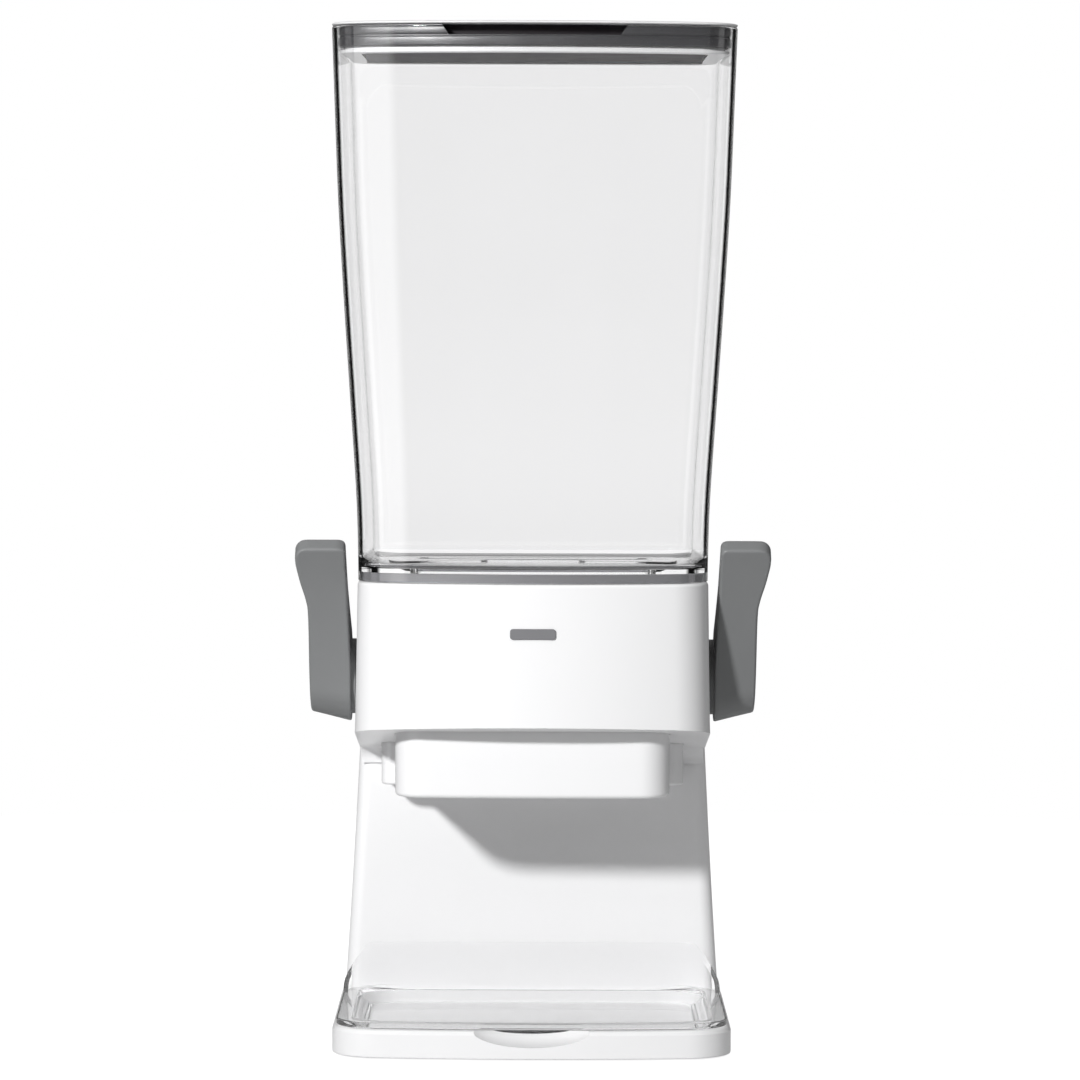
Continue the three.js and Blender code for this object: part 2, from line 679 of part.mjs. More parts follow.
function lidFrame() {
  const rim = hopperSpecAt(1);
  const wall = prism(outline(rim, LID_FRAME_INSET), LID_BOTTOM, LID_PLATE - GAP);
  const flange = loft([
    [LID_BOTTOM, outline(rim, 4.6)],
    [LID_BOTTOM + 0.6, outline(rim, 4)],
    [LID_BOTTOM + 1.6, outline(rim, 4)],
  ]);
  const hollow = prism(outline(rim, LID_FRAME_INSET + LID_FRAME_WIDTH), LID_BOTTOM - 1, LID_PLATE + 1);
  return wall.add(flange).subtract(hollow).subtract(lidScoop(-58));
}

function lidInnerPlate() {
  const spec = hopperSpecAt(1);
  const inset = LID_FRAME_INSET + LID_FRAME_WIDTH;
  const pan = prism(outline(spec, inset + GAP), LID_BOTTOM + 0.5, LID_PLATE - GAP);
  const hollow = prism(outline(spec, inset + WALL), LID_BOTTOM + 2.5, LID_PLATE + 1);
  return pan.subtract(hollow);
}

function lidGasket() {
  const rim = hopperSpecAt(0.99);
  const ribs = [
    [485, 3.6],
    [486, 3],
    [489.4, 3],
    [489.9, 3.9],
    [490.5, 3.9],
    [491, 3],
    [493.8, 3],
    [494.6, 3.8],
  ];
  const band = loft(ribs.map(([z, inset]) => [z, outline(rim, inset)]));
  return band.subtract(prism(outline(rim, LID_FRAME_INSET - GAP), 480, 500)).subtract(lidScoop(-60));
}

add("spout", spout(), "white");
add("rotor_chamber", rotorChamber(), "inner");
add("right_bush", bush(), "ring");
add("left_bush", bush(), "ring").scale.x = -1;
add("hopper_seat_ring", seatRing(), "ring");
add("hopper", hopper(), "clear");
add("lid_top_plate", lidPlate(), "white");
add("lid_frame", lidFrame(), "white");
add("lid_inner_plate", lidInnerPlate(), "smoke");
add("lid_gasket", lidGasket(), "seal");

// A blank plate on the housing's front.
const BADGE = { halfWidth: 11, low: 200.6, high: 205.8 };
const badgeOutline = roundedRectangle(-BADGE.halfWidth, BADGE.halfWidth, BADGE.low, BADGE.high, 1.4);
add("front_plate", frontPrism(badgeOutline, HEAD_FRONT - 0.5, HEAD_FRONT + 0.3), "ring");

// ---------------------------------------------------------------- rotor: shaft, paddles, handles

const hexagon = (circumradius) => Array.from({ length: 6 }, (_, i) => radians(60 * i)).map((angle) =>
  v2(AXIS_Y + circumradius * Math.cos(angle), AXIS_Z + circumradius * Math.sin(angle)),
);

const HANDLE_SCREW = { headRadius: 3.8, shankRadius: 1.7, seat: 105.2, tip: 92 };

function driveShaft() {
  let shaft = sidePrism(hexagon(SHAFT_RADIUS), -SHAFT_HALF, SHAFT_HALF);
  for (const side of [-1, 1]) {
    const journal = [side * 56.4, side * 86.4].sort((a, b) => a - b);
    const end = [side * 90, side * (SHAFT_HALF + 1)].sort((a, b) => a - b);
    shaft = shaft
      .add(rodX(SHAFT_RADIUS, ...journal, AXIS_Y, AXIS_Z, 24))
      .subtract(rodX(HANDLE_SCREW.shankRadius + GAP, ...end, AXIS_Y, AXIS_Z, 12));
  }
  return shaft;
}

// Six flexible blades on a sleeve, each thinning towards a rounded tip.
function paddleWheel() {
  const hub = 9.5;
  const rootHalf = 1.9;
  const tipHalf = 0.8;
  const points = [];
  for (let i = 0; i < PADDLES; i++) {
    const middle = radians((360 / PADDLES) * i + 90);
    const along = v2(Math.cos(middle), Math.sin(middle));
    const across = v2(-along.y, along.x);
    for (const [reach, offset] of [
      [hub, -rootHalf],
      [PADDLE_RADIUS - tipHalf, -tipHalf],
      [PADDLE_RADIUS, 0],
      [PADDLE_RADIUS - tipHalf, tipHalf],
      [hub, rootHalf],
    ]) {
      points.push(
        v2(AXIS_Y + along.x * reach + across.x * offset, AXIS_Z + along.y * reach + across.y * offset),
      );
    }
    const half = radians(180 / PADDLES);
    for (const share of [0.6, 1, 1.4]) {
      const angle = middle + half * share;
      points.push(v2(AXIS_Y + hub * Math.cos(angle), AXIS_Z + hub * Math.sin(angle)));
    }
  }
  const wheelHalf = CHAMBER_HALF - 1.2;
  const wheel = sidePrism(points, -wheelHalf, wheelHalf);
  return wheel.subtract(sidePrism(hexagon(SHAFT_RADIUS + 0.4), -80, 80));
}

const HUB_TAPER = 0.25; // how much the hub's radius falls with each millimetre outwards

// The lever in its own upright frame at distance `x` from the middle: u across (front is -),
// v along the lever, axis at the origin.
function leverSide(x) {
  const tipHalf = 4.4;
  const radius = HUB_RADIUS - HUB_TAPER * (x - HANDLE_INNER);
  const frontCurve = new THREE.CubicBezierCurve(
    v2(-tipHalf, LEVER_LENGTH),
    v2(-tipHalf - 1.5, LEVER_LENGTH - 30),
    v2(-radius + 7, 26),
    v2(-radius * Math.cos(radians(12)), radius * Math.sin(radians(12))),
  );
  const backCurve = new THREE.CubicBezierCurve(
    v2(radius * Math.cos(radians(30)), radius * Math.sin(radians(30))),
    v2(radius - 9, 28),
    v2(tipHalf + 2.5, LEVER_LENGTH - 34),
    v2(tipHalf, LEVER_LENGTH),
  );
  const hub = arc(0, 0, radius, radians(168), radians(390), 22);
  return [...frontCurve.getPoints(8), ...hub.slice(1, -1), ...backCurve.getPoints(8)];
}

// The lever from the front: x out from the middle, v along the lever.
function leverFront() {
  const outer = new THREE.SplineCurve([
    v2(HANDLE_OUTER - 0.6, -14),
    v2(HANDLE_OUTER, 12),
    v2(HANDLE_OUTER + 0.2, 42),
    v2(HANDLE_OUTER + 1.2, 51),
    v2(HANDLE_OUTER + 3.8, 61),
    v2(HANDLE_OUTER + TIP_FLARE - 0.2, 71),
  ]);
  const corner = 6;
  const tipCorner = arc(HANDLE_OUTER + TIP_FLARE - corner, LEVER_LENGTH - corner, corner, 0, Math.PI / 2, 5);
  const innerCorner = arc(HANDLE_INNER + 5.2, LEVER_LENGTH - 3.4, 3.4, Math.PI / 2, Math.PI, 4);
  return [
    v2(HANDLE_INNER, -HUB_RADIUS - 1),
    v2(HANDLE_OUTER - 0.6, -HUB_RADIUS - 1),
    ...outer.getPoints(12),
    ...tipCorner,
    ...innerCorner,
    v2(HANDLE_INNER + 1.2, 50),
    v2(HANDLE_INNER, 16),
  ];
}

const COLLAR_RADIUS = 18.5;
const CAP_RADIUS = 8;

function handle() {
  const sections = [HANDLE_INNER - 1, HANDLE_OUTER + 12].map((x) => [x, leverSide(x)]);
  const lever = solid(geometryOf(loft(sections)).applyMatrix4(ALONG_X));
  const view = frontPrism(leverFront(), -60, 60);
  const collar = rodX(COLLAR_RADIUS, HANDLE_INNER - 2.3, HANDLE_INNER + 1, 0, 0, 28);
  const shape = lever.intersect(view).add(collar);
  const leaned = solid(geometryOf(shape).rotateX(radians(LEVER_LEAN)).translate(0, AXIS_Y, AXIS_Z));
  const { headRadius, shankRadius, seat } = HANDLE_SCREW;
  return leaned
    .subtract(sidePrism(hexagon(SHAFT_RADIUS + 0.4), 80, SHAFT_HALF + GAP))
    .subtract(rodX(shankRadius + GAP, 90, 120, AXIS_Y, AXIS_Z, 12))
    .subtract(rodX(headRadius + 0.4, seat - GAP, 120, AXIS_Y, AXIS_Z, 20))
    .subtract(rodX(CAP_RADIUS + GAP, HANDLE_OUTER - 1.8, 120, AXIS_Y, AXIS_Z, 24));
}

function handleScrew() {
  const { headRadius, shankRadius, seat, tip } = HANDLE_SCREW;
  const driver = box(seat + 1.4, seat + 3, AXIS_Y - 0.5, AXIS_Y + 0.5, AXIS_Z - 2.4, AXIS_Z + 2.4);
  return rodX(headRadius, seat, seat + 2, AXIS_Y, AXIS_Z, 20)
    .add(rodX(shankRadius, tip, seat + 1, AXIS_Y, AXIS_Z, 12))
    .subtract(driver);
}

function hubCap() {
  const face = HANDLE_OUTER - 0.1;
  return rodX(CAP_RADIUS, face - 1.3, face - 0.4, AXIS_Y, AXIS_Z, 24).add(
    rodX(CAP_RADIUS, face - 0.4, face, AXIS_Y, AXIS_Z, 24, CAP_RADIUS - 0.5),
  );
}

add("drive_shaft", driveShaft(), "inner");
add("paddle_wheel", paddleWheel(), "paddle");
for (const [side, name] of [
  [1, "right"],
  [-1, "left"],
]) {
  add(`${name}_handle`, handle(), "grip").scale.x = side;
  add(`${name}_handle_screw`, handleScrew(), "steel").scale.x = side;
  add(`${name}_hub_cap`, hubCap(), "grip").scale.x = side;
}

// ---------------------------------------------------------------- crumb tray

function crumbTray() {
  const flange = prism(outline(TRAY), TRAY_FLANGE, TRAY_RIM);
  const wall = prism(outline(TRAY), TRAY_FLANGE, TRAY_BACK).subtract(
    prism(outline(TRAY, 2.4), TRAY_RIM, TRAY_BACK + 1),
  );
  const scoopStart = 22;
  const rise = new THREE.QuadraticBezierCurve(
    v2(scoopStart, TRAY_RIM),
    v2(48, TRAY_RIM + 1),
    v2(60, TRAY_BACK + 1),
  );
  const above = sidePrism(
    [v2(-120, TRAY_RIM), ...rise.getPoints(10), v2(60, 60), v2(-120, 60)],
    -110,
    110,
  );
  const radius = 9;
  const half = TRAY.halfWidth + 1;
  const frontView = [
    v2(-half, 0),
    v2(half, 0),
    ...arc(TRAY.halfWidth - radius, TRAY_BACK - radius, radius, 0, Math.PI / 2, 5),
    ...arc(radius - TRAY.halfWidth, TRAY_BACK - radius, radius, Math.PI / 2, Math.PI, 5),
  ];
  const back = wall.subtract(above).intersect(frontPrism(frontView, -100, 100));
  const dish = loft([
    [TRAY_FLOOR, outline(DISH, 7)],
    [TRAY_FLOOR + 1.6, outline(DISH, 3.6)],
    [TRAY_RIM + 0.1, outline(DISH)],
  ]);
  return flange.add(dishOutside(0)).add(back).subtract(dish);
}

add("crumb_tray", crumbTray(), "clear");

export default dispenser;
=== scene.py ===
"""Countertop cereal dispenser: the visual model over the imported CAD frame.

Shapes are written in millimetres, +Z up, front towards -Y, and become metres when a mesh is made.
"""

import json
import math
from collections import namedtuple

import bmesh
import bpy
import numpy as np
from mathutils import Matrix, Vector


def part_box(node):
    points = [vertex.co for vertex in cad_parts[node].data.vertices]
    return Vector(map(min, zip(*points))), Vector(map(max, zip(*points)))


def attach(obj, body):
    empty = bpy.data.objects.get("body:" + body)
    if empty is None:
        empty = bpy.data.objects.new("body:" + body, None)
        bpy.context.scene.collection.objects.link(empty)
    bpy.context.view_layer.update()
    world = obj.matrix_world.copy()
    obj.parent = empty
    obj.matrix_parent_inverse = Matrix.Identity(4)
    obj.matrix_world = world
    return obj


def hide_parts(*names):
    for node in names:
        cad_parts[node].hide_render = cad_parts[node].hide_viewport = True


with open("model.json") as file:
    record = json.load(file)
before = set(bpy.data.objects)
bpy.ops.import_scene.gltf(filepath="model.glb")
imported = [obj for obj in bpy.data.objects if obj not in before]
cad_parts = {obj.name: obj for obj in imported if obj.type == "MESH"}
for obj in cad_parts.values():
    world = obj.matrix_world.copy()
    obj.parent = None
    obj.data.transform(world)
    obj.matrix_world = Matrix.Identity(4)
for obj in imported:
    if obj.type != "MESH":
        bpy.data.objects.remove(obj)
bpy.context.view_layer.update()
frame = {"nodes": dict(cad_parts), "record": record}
RECORD = frame["record"]
BODY = {node: body for body, nodes in RECORD["behaviour"]["bodies"].items() for node in nodes}

MM = 0.001
GAP = 0.3  # between pieces that touch
WALL = 3.0  # white mouldings
CLEAR_WALL = 2.0
QUARTER = math.pi / 2


def quarter_turns(steps):
    """Angles from 0 to a quarter turn, in equal steps."""
    return [QUARTER * k / steps for k in range(steps + 1)]


def edges(node):
    """Lowest and highest corner of a CAD node, in millimetres."""
    low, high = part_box(node)
    return np.array(low) / MM, np.array(high) / MM


# ---------------------------------------------------------------- outlines

FRONT_STEPS = 40
CORNER_STEPS = 14
BACK_STEPS = 8

# An outline seen from above: a bowed front edge between rounded corners, straight sides and back.
Outline = namedtuple("Outline", "half front back bow corner back_corner")


def arc(x, y, radius, start, end, steps):
    angles = np.linspace(start, end, steps + 1)
    return np.stack([x + radius * np.cos(angles), y + radius * np.sin(angles)], axis=1)


def outline(spec, inset=0.0):
    """The points of an outline moved in by `inset`, always the same number of them."""
    half, front, back = spec.half - inset, spec.front + inset, spec.back - inset
    corner = max(spec.corner - inset, 0.8)
    back_corner = max(spec.back_corner - inset, 0.8)
    bow = spec.bow - inset
    sweep = math.asin((half - corner) / (bow - corner))
    corner_y = front + bow - (bow - corner) * math.cos(sweep)
    down = -QUARTER
    return np.concatenate(
        [
            arc(0, front + bow, bow, down - sweep, down + sweep, FRONT_STEPS)[:-1],
            arc(half - corner, corner_y, corner, down + sweep, 0, CORNER_STEPS),
            arc(half - back_corner, back - back_corner, back_corner, 0, QUARTER, BACK_STEPS),
            arc(back_corner - half, back - back_corner, back_corner, QUARTER, math.pi, BACK_STEPS),
            arc(corner - half, corner_y, corner, math.pi, 3 * QUARTER - sweep, CORNER_STEPS)[:-1],
        ]
    )


def rounded_rectangle(left, right, low, high, radius, steps=8):
    return np.concatenate(
        [
            arc(left + radius, low + radius, radius, 2 * QUARTER, 3 * QUARTER, steps),
            arc(right - radius, low + radius, radius, 3 * QUARTER, 4 * QUARTER, steps),
            arc(right - radius, high - radius, radius, 0, QUARTER, steps),
            arc(left + radius, high - radius, radius, QUARTER, 2 * QUARTER, steps),
        ]
    )


def circle(x, y, radius, steps=48):
    return arc(x, y, radius, 0, 2 * math.pi, steps)[:-1]


def spline(points, steps):
    """A smooth curve through the points, with `steps` spans between two of them."""
    p = np.array([points[0], *points, points[-1]], float)
    made = []
    for a, b, c, d in zip(p, p[1:], p[2:], p[3:]):
        for t in np.arange(steps) / steps:
            bend = (2 * a - 5 * b + 4 * c - d) * t * t + (3 * b - 3 * c + d - a) * t**3
            made.append((2 * b + (c - a) * t + bend) / 2)
    return np.array([*made, points[-1]])


def bezier(start, pull_a, pull_b, end, steps):
    t = np.linspace(0, 1, steps + 1)[:, None]
    a, b, c, d = (np.array(p, float) for p in (start, pull_a, pull_b, end))
    return a * (1 - t) ** 3 + 3 * b * t * (1 - t) ** 2 + 3 * c * t * t * (1 - t) + d * t**3


# ---------------------------------------------------------------- meshes

TOO_CLOSE = 1e-7  # metres between points that count as one


def mesh_object(name, points, faces):
    mesh = bpy.data.meshes.new(name)
    mesh.from_pydata([tuple(p) for p in np.asarray(points) * MM], [], faces)
    work = bmesh.new()
    work.from_mesh(mesh)
    bmesh.ops.remove_doubles(work, verts=work.verts, dist=TOO_CLOSE)
    bmesh.ops.dissolve_degenerate(work, edges=work.edges, dist=TOO_CLOSE)
    bmesh.ops.recalc_face_normals(work, faces=work.faces)
    work.to_mesh(mesh)
    work.free()
    piece = bpy.data.objects.new(name, mesh)
    bpy.context.scene.collection.objects.link(piece)
    return piece


def loft(rings, name="work"):
    """A closed skin through rings with the same number of points."""
    count = len(rings[0])
    faces = []
    for k in range(len(rings) - 1):
        a, b = k * count, (k + 1) * count
        for i in range(count):
            j = (i + 1) % count
            faces.append((a + i, a + j, b + j, b + i))
    faces.append(tuple(range(count))[::-1])
    faces.append(tuple(range((len(rings) - 1) * count, len(rings) * count)))
    return mesh_object(name, np.concatenate(rings), faces)


def level(points, z):
    return np.column_stack([points, np.full(len(points), float(z))])


def extrude(points, low, high, axis=2):
    """A flat outline carried along X (0), Y (1) or Z (2)."""
    rings = [np.insert(np.asarray(points, float), axis, at, axis=1) for at in (low, high)]
    return loft(rings)


def block(shape, low, high, low_round=0.0, high_round=0.0, steps=5):
    """A solid standing on the outline shape(inset), with its lower and upper edges rounded."""
    rings = []
    for turn in quarter_turns(steps) if low_round else [QUARTER]:
        inset, rise = low_round * (1 - math.sin(turn)), low_round * (1 - math.cos(turn))
        rings.append(level(shape(inset), low + rise))
    for turn in quarter_turns(steps) if high_round else [0]:
        inset, drop = high_round * (1 - math.cos(turn)), high_round * (1 - math.sin(turn))
        rings.append(level(shape(inset), high - drop))
    return loft(rings)


def settle(piece):
    """Turns the modifiers' result into the piece's own mesh."""
    graph = bpy.context.evaluated_depsgraph_get()
    made = bpy.data.meshes.new_from_object(piece.evaluated_get(graph))
    piece.modifiers.clear()
    piece.data = made
    return piece


def combine(piece, tool, operation="DIFFERENCE"):
    modifier = piece.modifiers.new("shape", "BOOLEAN")
    modifier.operation = operation
    modifier.solver = "MANIFOLD"
    modifier.object = tool
    settle(piece)
    bpy.data.objects.remove(tool)
    return piece


def cut(piece, *tools):
    for tool in tools:
        combine(piece, tool)
    return piece


def join(piece, *others):
    for other in others:
        combine(piece, other, "UNION")
    return piece


def soften(piece, width, segments=3, angle=35):
    """Rounds every edge that turns by more than `angle` degrees."""
    modifier = piece.modifiers.new("edges", "BEVEL")
    modifier.width = width * MM
    modifier.segments = segments
    modifier.limit_method = "ANGLE"
    modifier.angle_limit = math.radians(angle)
    modifier.use_clamp_overlap = True
    modifier.miter_outer = "MITER_ARC"
    return settle(piece)


def move(piece, matrix):
    piece.data.transform(matrix)
    if matrix.determinant() < 0:
        piece.data.flip_normals()
    return piece


def stand_for(piece, node, look, sharp=30):
    """Puts a finished piece in the place of a CAD node."""
    piece.name = f"{node}_detail"
    piece.data.name = piece.name
    piece.data.materials.clear()
    piece.data.materials.append(look)
    piece.data.shade_smooth()
    piece.data.set_sharp_from_angle(angle=math.radians(sharp))
    shading = piece.modifiers.new("shading", "WEIGHTED_NORMAL")
    shading.keep_sharp = True
    settle(piece)
    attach(piece, BODY[node])
    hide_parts(node)
    return piece


def copy_of(node):
    """A clean copy of a CAD node's mesh, with its shared corners joined."""
    work = bmesh.new()
    work.from_mesh(frame["nodes"][node].data)
    bmesh.ops.remove_doubles(work, verts=work.verts, dist=2e-6)
    flat = math.radians(1.5)
    bmesh.ops.dissolve_limit(work, angle_limit=flat, verts=work.verts, edges=work.edges)
    bmesh.ops.recalc_face_normals(work, faces=work.faces)
    mesh = bpy.data.meshes.new(node)
    work.to_mesh(mesh)
    work.free()
    piece = bpy.data.objects.new(node, mesh)
    bpy.context.scene.collection.objects.link(piece)
    return piece


# ---------------------------------------------------------------- materials


def shader(name):
    look = bpy.data.materials.new(name)
    look.use_nodes = True
    return look, look.node_tree.nodes, look.node_tree.links


def noise(nodes, links, scale, detail=3.0):
    place = nodes.new("ShaderNodeTexCoord")
    texture = nodes.new("ShaderNodeTexNoise")
    texture.inputs["Scale"].default_value = scale
    texture.inputs["Detail"].default_value = detail
    links.new(place.outputs["Object"], texture.inputs["Vector"])
    return texture.outputs["Fac"]


def ranged(nodes, links, value, low, high, start=0.3, end=0.7):
    node = nodes.new("ShaderNodeMapRange")
    node.inputs["From Min"].default_value = start
    node.inputs["From Max"].default_value = end
    node.inputs["To Min"].default_value = low
    node.inputs["To Max"].default_value = high
    links.new(value, node.inputs["Value"])
    return node.outputs["Result"]


def math_node(nodes, links, operation, *values):
    node = nodes.new("ShaderNodeMath")
    node.operation = operation
    for socket, value in zip(node.inputs, values):
        if isinstance(value, bpy.types.NodeSocket):
            links.new(value, socket)
        else:
            socket.default_value = value
    return node.outputs[0]


def blended(nodes, links, share, first, second):
    node = nodes.new("ShaderNodeMix")
    node.data_type = "RGBA"
    links.new(share, node.inputs["Factor"])
    for socket, value in zip(("A", "B"), (first, second)):
        target = [s for s in node.inputs if s.name == socket and s.type == "RGBA"][0]
        if isinstance(value, bpy.types.NodeSocket):
            links.new(value, target)
        else:
            target.default_value = (*value, 1)
    return [s for s in node.outputs if s.type == "RGBA"][0]


def moulded(name, colour, roughness, shade=0.97, spread=0.05, grain=0.25, grain_scale=2600.0, wear=1.0):
    """A moulded surface: cloudy colour, uneven gloss, fine grain and, when `wear` is not 1, edges rubbed
    lighter.
    """
    look, nodes, links = shader(name)
    surface = nodes["Principled BSDF"]
    cloud = noise(nodes, links, 22.0)
    colour_map = blended(nodes, links, cloud, [c * shade for c in colour], colour)
    fine = noise(nodes, links, grain_scale, 2.0)
    gloss = ranged(nodes, links, noise(nodes, links, 90.0, 5.0), roughness - spread, roughness + spread)
    if wear != 1.0:
        geometry = nodes.new("ShaderNodeNewGeometry")
        edge = ranged(nodes, links, geometry.outputs["Pointiness"], 0.0, 1.0, 0.52, 0.6)
        rubbed = [min(1.0, c * wear) for c in colour]
        colour_map = blended(nodes, links, edge, colour_map, rubbed)
    links.new(colour_map, surface.inputs["Base Color"])
    links.new(gloss, surface.inputs["Roughness"])
    bump = nodes.new("ShaderNodeBump")
    bump.inputs["Strength"].default_value = grain
    bump.inputs["Distance"].default_value = 0.00003
    links.new(fine, bump.inputs["Height"])
    links.new(bump.outputs["Normal"], surface.inputs["Normal"])
    return look


# Painted shade: a dark colour put where a narrow gap lies in shadow.
PAINTED_SHADE = (0.12, 0.12, 0.12)


def clear(name, colour, ior, roughness, clearness=1.0, painted_shade=None):
    """Clear plastic, faintly uneven; the last argument gives the share of painted shade, a dark colour
    standing in for shadow, from the x, y and z sockets.
    """
    look, nodes, links = shader(name)
    surface = nodes["Principled BSDF"]
    surface.inputs["Transmission Weight"].default_value = clearness
    surface.inputs["IOR"].default_value = ior
    cloud = noise(nodes, links, 14.0)
    tint = blended(nodes, links, cloud, [c * 0.985 for c in colour], colour)
    if painted_shade:
        place = nodes.new("ShaderNodeTexCoord")
        split = nodes.new("ShaderNodeSeparateXYZ")
        links.new(place.outputs["Object"], split.inputs[0])
        # Painted shade: the tint turns dark where the mask says, in place of a cast shadow.
        tint = blended(nodes, links, painted_shade(nodes, links, *split.outputs), tint, PAINTED_SHADE)
    links.new(tint, surface.inputs["Base Color"])
    haze = ranged(nodes, links, noise(nodes, links, 60.0, 6.0), roughness * 0.4, roughness * 1.6)
    links.new(haze, surface.inputs["Roughness"])
    # Light on its way to another surface passes straight through, a little dimmed.
    path = nodes.new("ShaderNodeLightPath")
    shadow, diffuse = path.outputs["Is Shadow Ray"], path.outputs["Is Diffuse Ray"]
    passing = math_node(nodes, links, "MAXIMUM", shadow, diffuse)
    through = nodes.new("ShaderNodeBsdfTransparent")
    through.inputs["Color"].default_value = (0.96, 0.96, 0.96, 1)
    either = nodes.new("ShaderNodeMixShader")
    links.new(passing, either.inputs["Fac"])
    links.new(surface.outputs["BSDF"], either.inputs[1])
    links.new(through.outputs["BSDF"], either.inputs[2])
    links.new(either.outputs["Shader"], nodes["Material Output"].inputs["Surface"])
    return look


def tune(look, socket, value):
    look.node_tree.nodes["Principled BSDF"].inputs[socket].default_value = value


WHITE = moulded("white_plastic", (0.92, 0.92, 0.926), 0.32, shade=0.99, spread=0.015, grain=0.12)
INNER = moulded("inner_plastic", (0.72, 0.72, 0.725), 0.45)
GRIP = moulded("soft_grip", (0.215, 0.22, 0.223), 0.5, shade=0.9, grain=0.5, grain_scale=3500.0, wear=1.25)
LID_SEAL = moulded("lid_silicone", (0.06, 0.06, 0.064), 0.32, shade=0.85)
SEAT_SEAL = moulded("seat_silicone", (0.2, 0.2, 0.21), 0.45, shade=0.92)
PADDLE = moulded("paddle_silicone", (0.5, 0.51, 0.52), 0.5, shade=0.93)
SMOKE = moulded("smoke_plastic", (0.022, 0.019, 0.022), 0.55, shade=0.85)
tune(SMOKE, "Specular IOR Level", 0.12)
RUBBER = moulded("foot_rubber", (0.03, 0.03, 0.03), 0.75, shade=0.8, grain=0.6)
STEEL = moulded("screw_steel", (0.6, 0.61, 0.62), 0.3, shade=0.88, grain_scale=4000.0)
tune(STEEL, "Metallic", 1.0)
CLEAR = clear("clear_plastic", (0.978, 0.977, 0.98), 1.5, 0.015)

# ---------------------------------------------------------------- base

base_low, base_high = edges("base_shell")
BASE = Outline(base_high[0], base_low[1], base_high[1], 600, 24, 16)
BASE_TOP = base_high[2]
BASE_SHOULDER = 2.2  # the rounding of the base's upper edge
CAVITY_TOP = 5.3  # the hollow under the base
tray_low, tray_high = edges("crumb_tray")
TRAY_SKIN = 2.1  # the dish's thickness at its floor
TRAY = Outline(tray_high[0], tray_low[1], tray_high[1], 600, 22, 24)
DISH = Outline(86, -84, tray_high[1] - 2.6, 600, 16, 22)
TRAY_FLANGE = BASE_TOP + GAP
TRAY_RIM = TRAY_FLANGE + 3
TRAY_FLOOR = tray_low[2] + TRAY_SKIN
FINGER_NOTCH = {"middle": (0, -95.5, 15.5), "radii": (29.5, 14, 9)}


def ellipsoid(middle, radii, steps=32):
    """Rings of an ellipsoid from its lowest to its highest point."""
    rings = []
    for k in range(1, steps):
        turn = -QUARTER + math.pi * k / steps
        flat = circle(0, 0, 1, 2 * steps) * np.array(radii[:2]) * math.cos(turn) + middle[:2]
        rings.append(level(flat, middle[2] + radii[2] * math.sin(turn)))
    return loft(rings)


def dish_outside(clearance):
    """The outside of the tray's dish, or the base's recess for it when there is a clearance."""
    bottom, top = TRAY_FLOOR - TRAY_SKIN - clearance, TRAY_RIM - 1
    foot_inset, spread = 5, 7
    rings = []
    for turn in quarter_turns(6):
        inset = foot_inset - clearance - spread * math.sin(turn) ** 2
        rings.append(level(outline(DISH, inset), bottom + (top - bottom) * turn / QUARTER))
    return loft(rings)


def base_shell():
    def side(inset):
        return outline(BASE, inset)

    low = base_low[2]
    skirt = [(low, 0.9), (low + 0.3, 0.3), (low + 1, 0), (BASE_TOP - BASE_SHOULDER, 0)]
    step_in = 0.4
    for turn in quarter_turns(6)[1:]:
        z = BASE_TOP - BASE_SHOULDER * (1 - math.sin(turn))
        skirt.append((z, step_in + BASE_SHOULDER * (1 - math.cos(turn))))
    shell = loft([level(side(inset), z) for z, inset in skirt])
    cavity = extrude(side(WALL), low - 1, CAVITY_TOP)
    notch = ellipsoid(FINGER_NOTCH["middle"], FINGER_NOTCH["radii"])
    return cut(shell, cavity, dish_outside(0.5), notch)


stand_for(base_shell(), "base_shell", WHITE)

# ---------------------------------------------------------------- column and head

COLUMN_TOP = edges("column_shell")[1][2]
head_low, head_high = edges("head_housing")
HEAD_TOP, HEAD_FRONT = head_high[2], head_low[1]
HEAD_LOW = COLUMN_TOP + 0.5
HEAD_EDGE = 1.6  # the rounding of the head's upper edge
UNDERSIDE_RISE = 20  # from the column to the front edge
COLUMN_FRONT = 62.3
COVER_THICKNESS = 2.4
# Height, half width, front and back of the stand, which flares into the base.
COLUMN_STATIONS = [
    (BASE_TOP + GAP, 94.6, 64.6, 91.6),
    (22, 93.9, 64.4, 91.3),
    (38, 92.8, 64, 90.8),
    (69, 90.9, 63.4, 90),
    (104, 88.9, 62.8, 89.2),
    (COLUMN_TOP, 87.2, COLUMN_FRONT, 88.6),
]
HEAD_STATIONS = [(130, 87.3), (HEAD_LOW + UNDERSIDE_RISE, 86.3), (HEAD_TOP - HEAD_EDGE, 85.2)]
HEAD_BACK = 88


def column_outline(station, inset=0.0):
    return outline(Outline(*station[1:], 3000, 7, 7), inset)


def head_outline(z, inset=0.0):
    heights, halves = zip(*HEAD_STATIONS)
    half = np.interp(z, heights, halves)
    back = np.interp(z, (COLUMN_TOP, HEAD_TOP), (COLUMN_STATIONS[-1][3], HEAD_BACK))
    return outline(Outline(half, HEAD_FRONT + 0.3, back, 240, 24, 10), inset)


def cover_space(clearance):
    """The rear cover's room: its side view carried across its width."""
    low, high = edges("rear_cover")
    heights = np.array([low[2] - clearance, 38, 69, 104, COLUMN_TOP, high[2] + clearance])
    stations = np.array(COLUMN_STATIONS)
    backs = np.interp(heights, [*stations[:, 0], HEAD_TOP], [*stations[:, 3], HEAD_BACK])
    outer = np.column_stack([backs + clearance, heights])
    inner = np.column_stack([backs - COVER_THICKNESS - clearance, heights])[::-1]
    return extrude(np.concatenate([outer, inner]), low[0] - clearance, high[0] + clearance, 0)


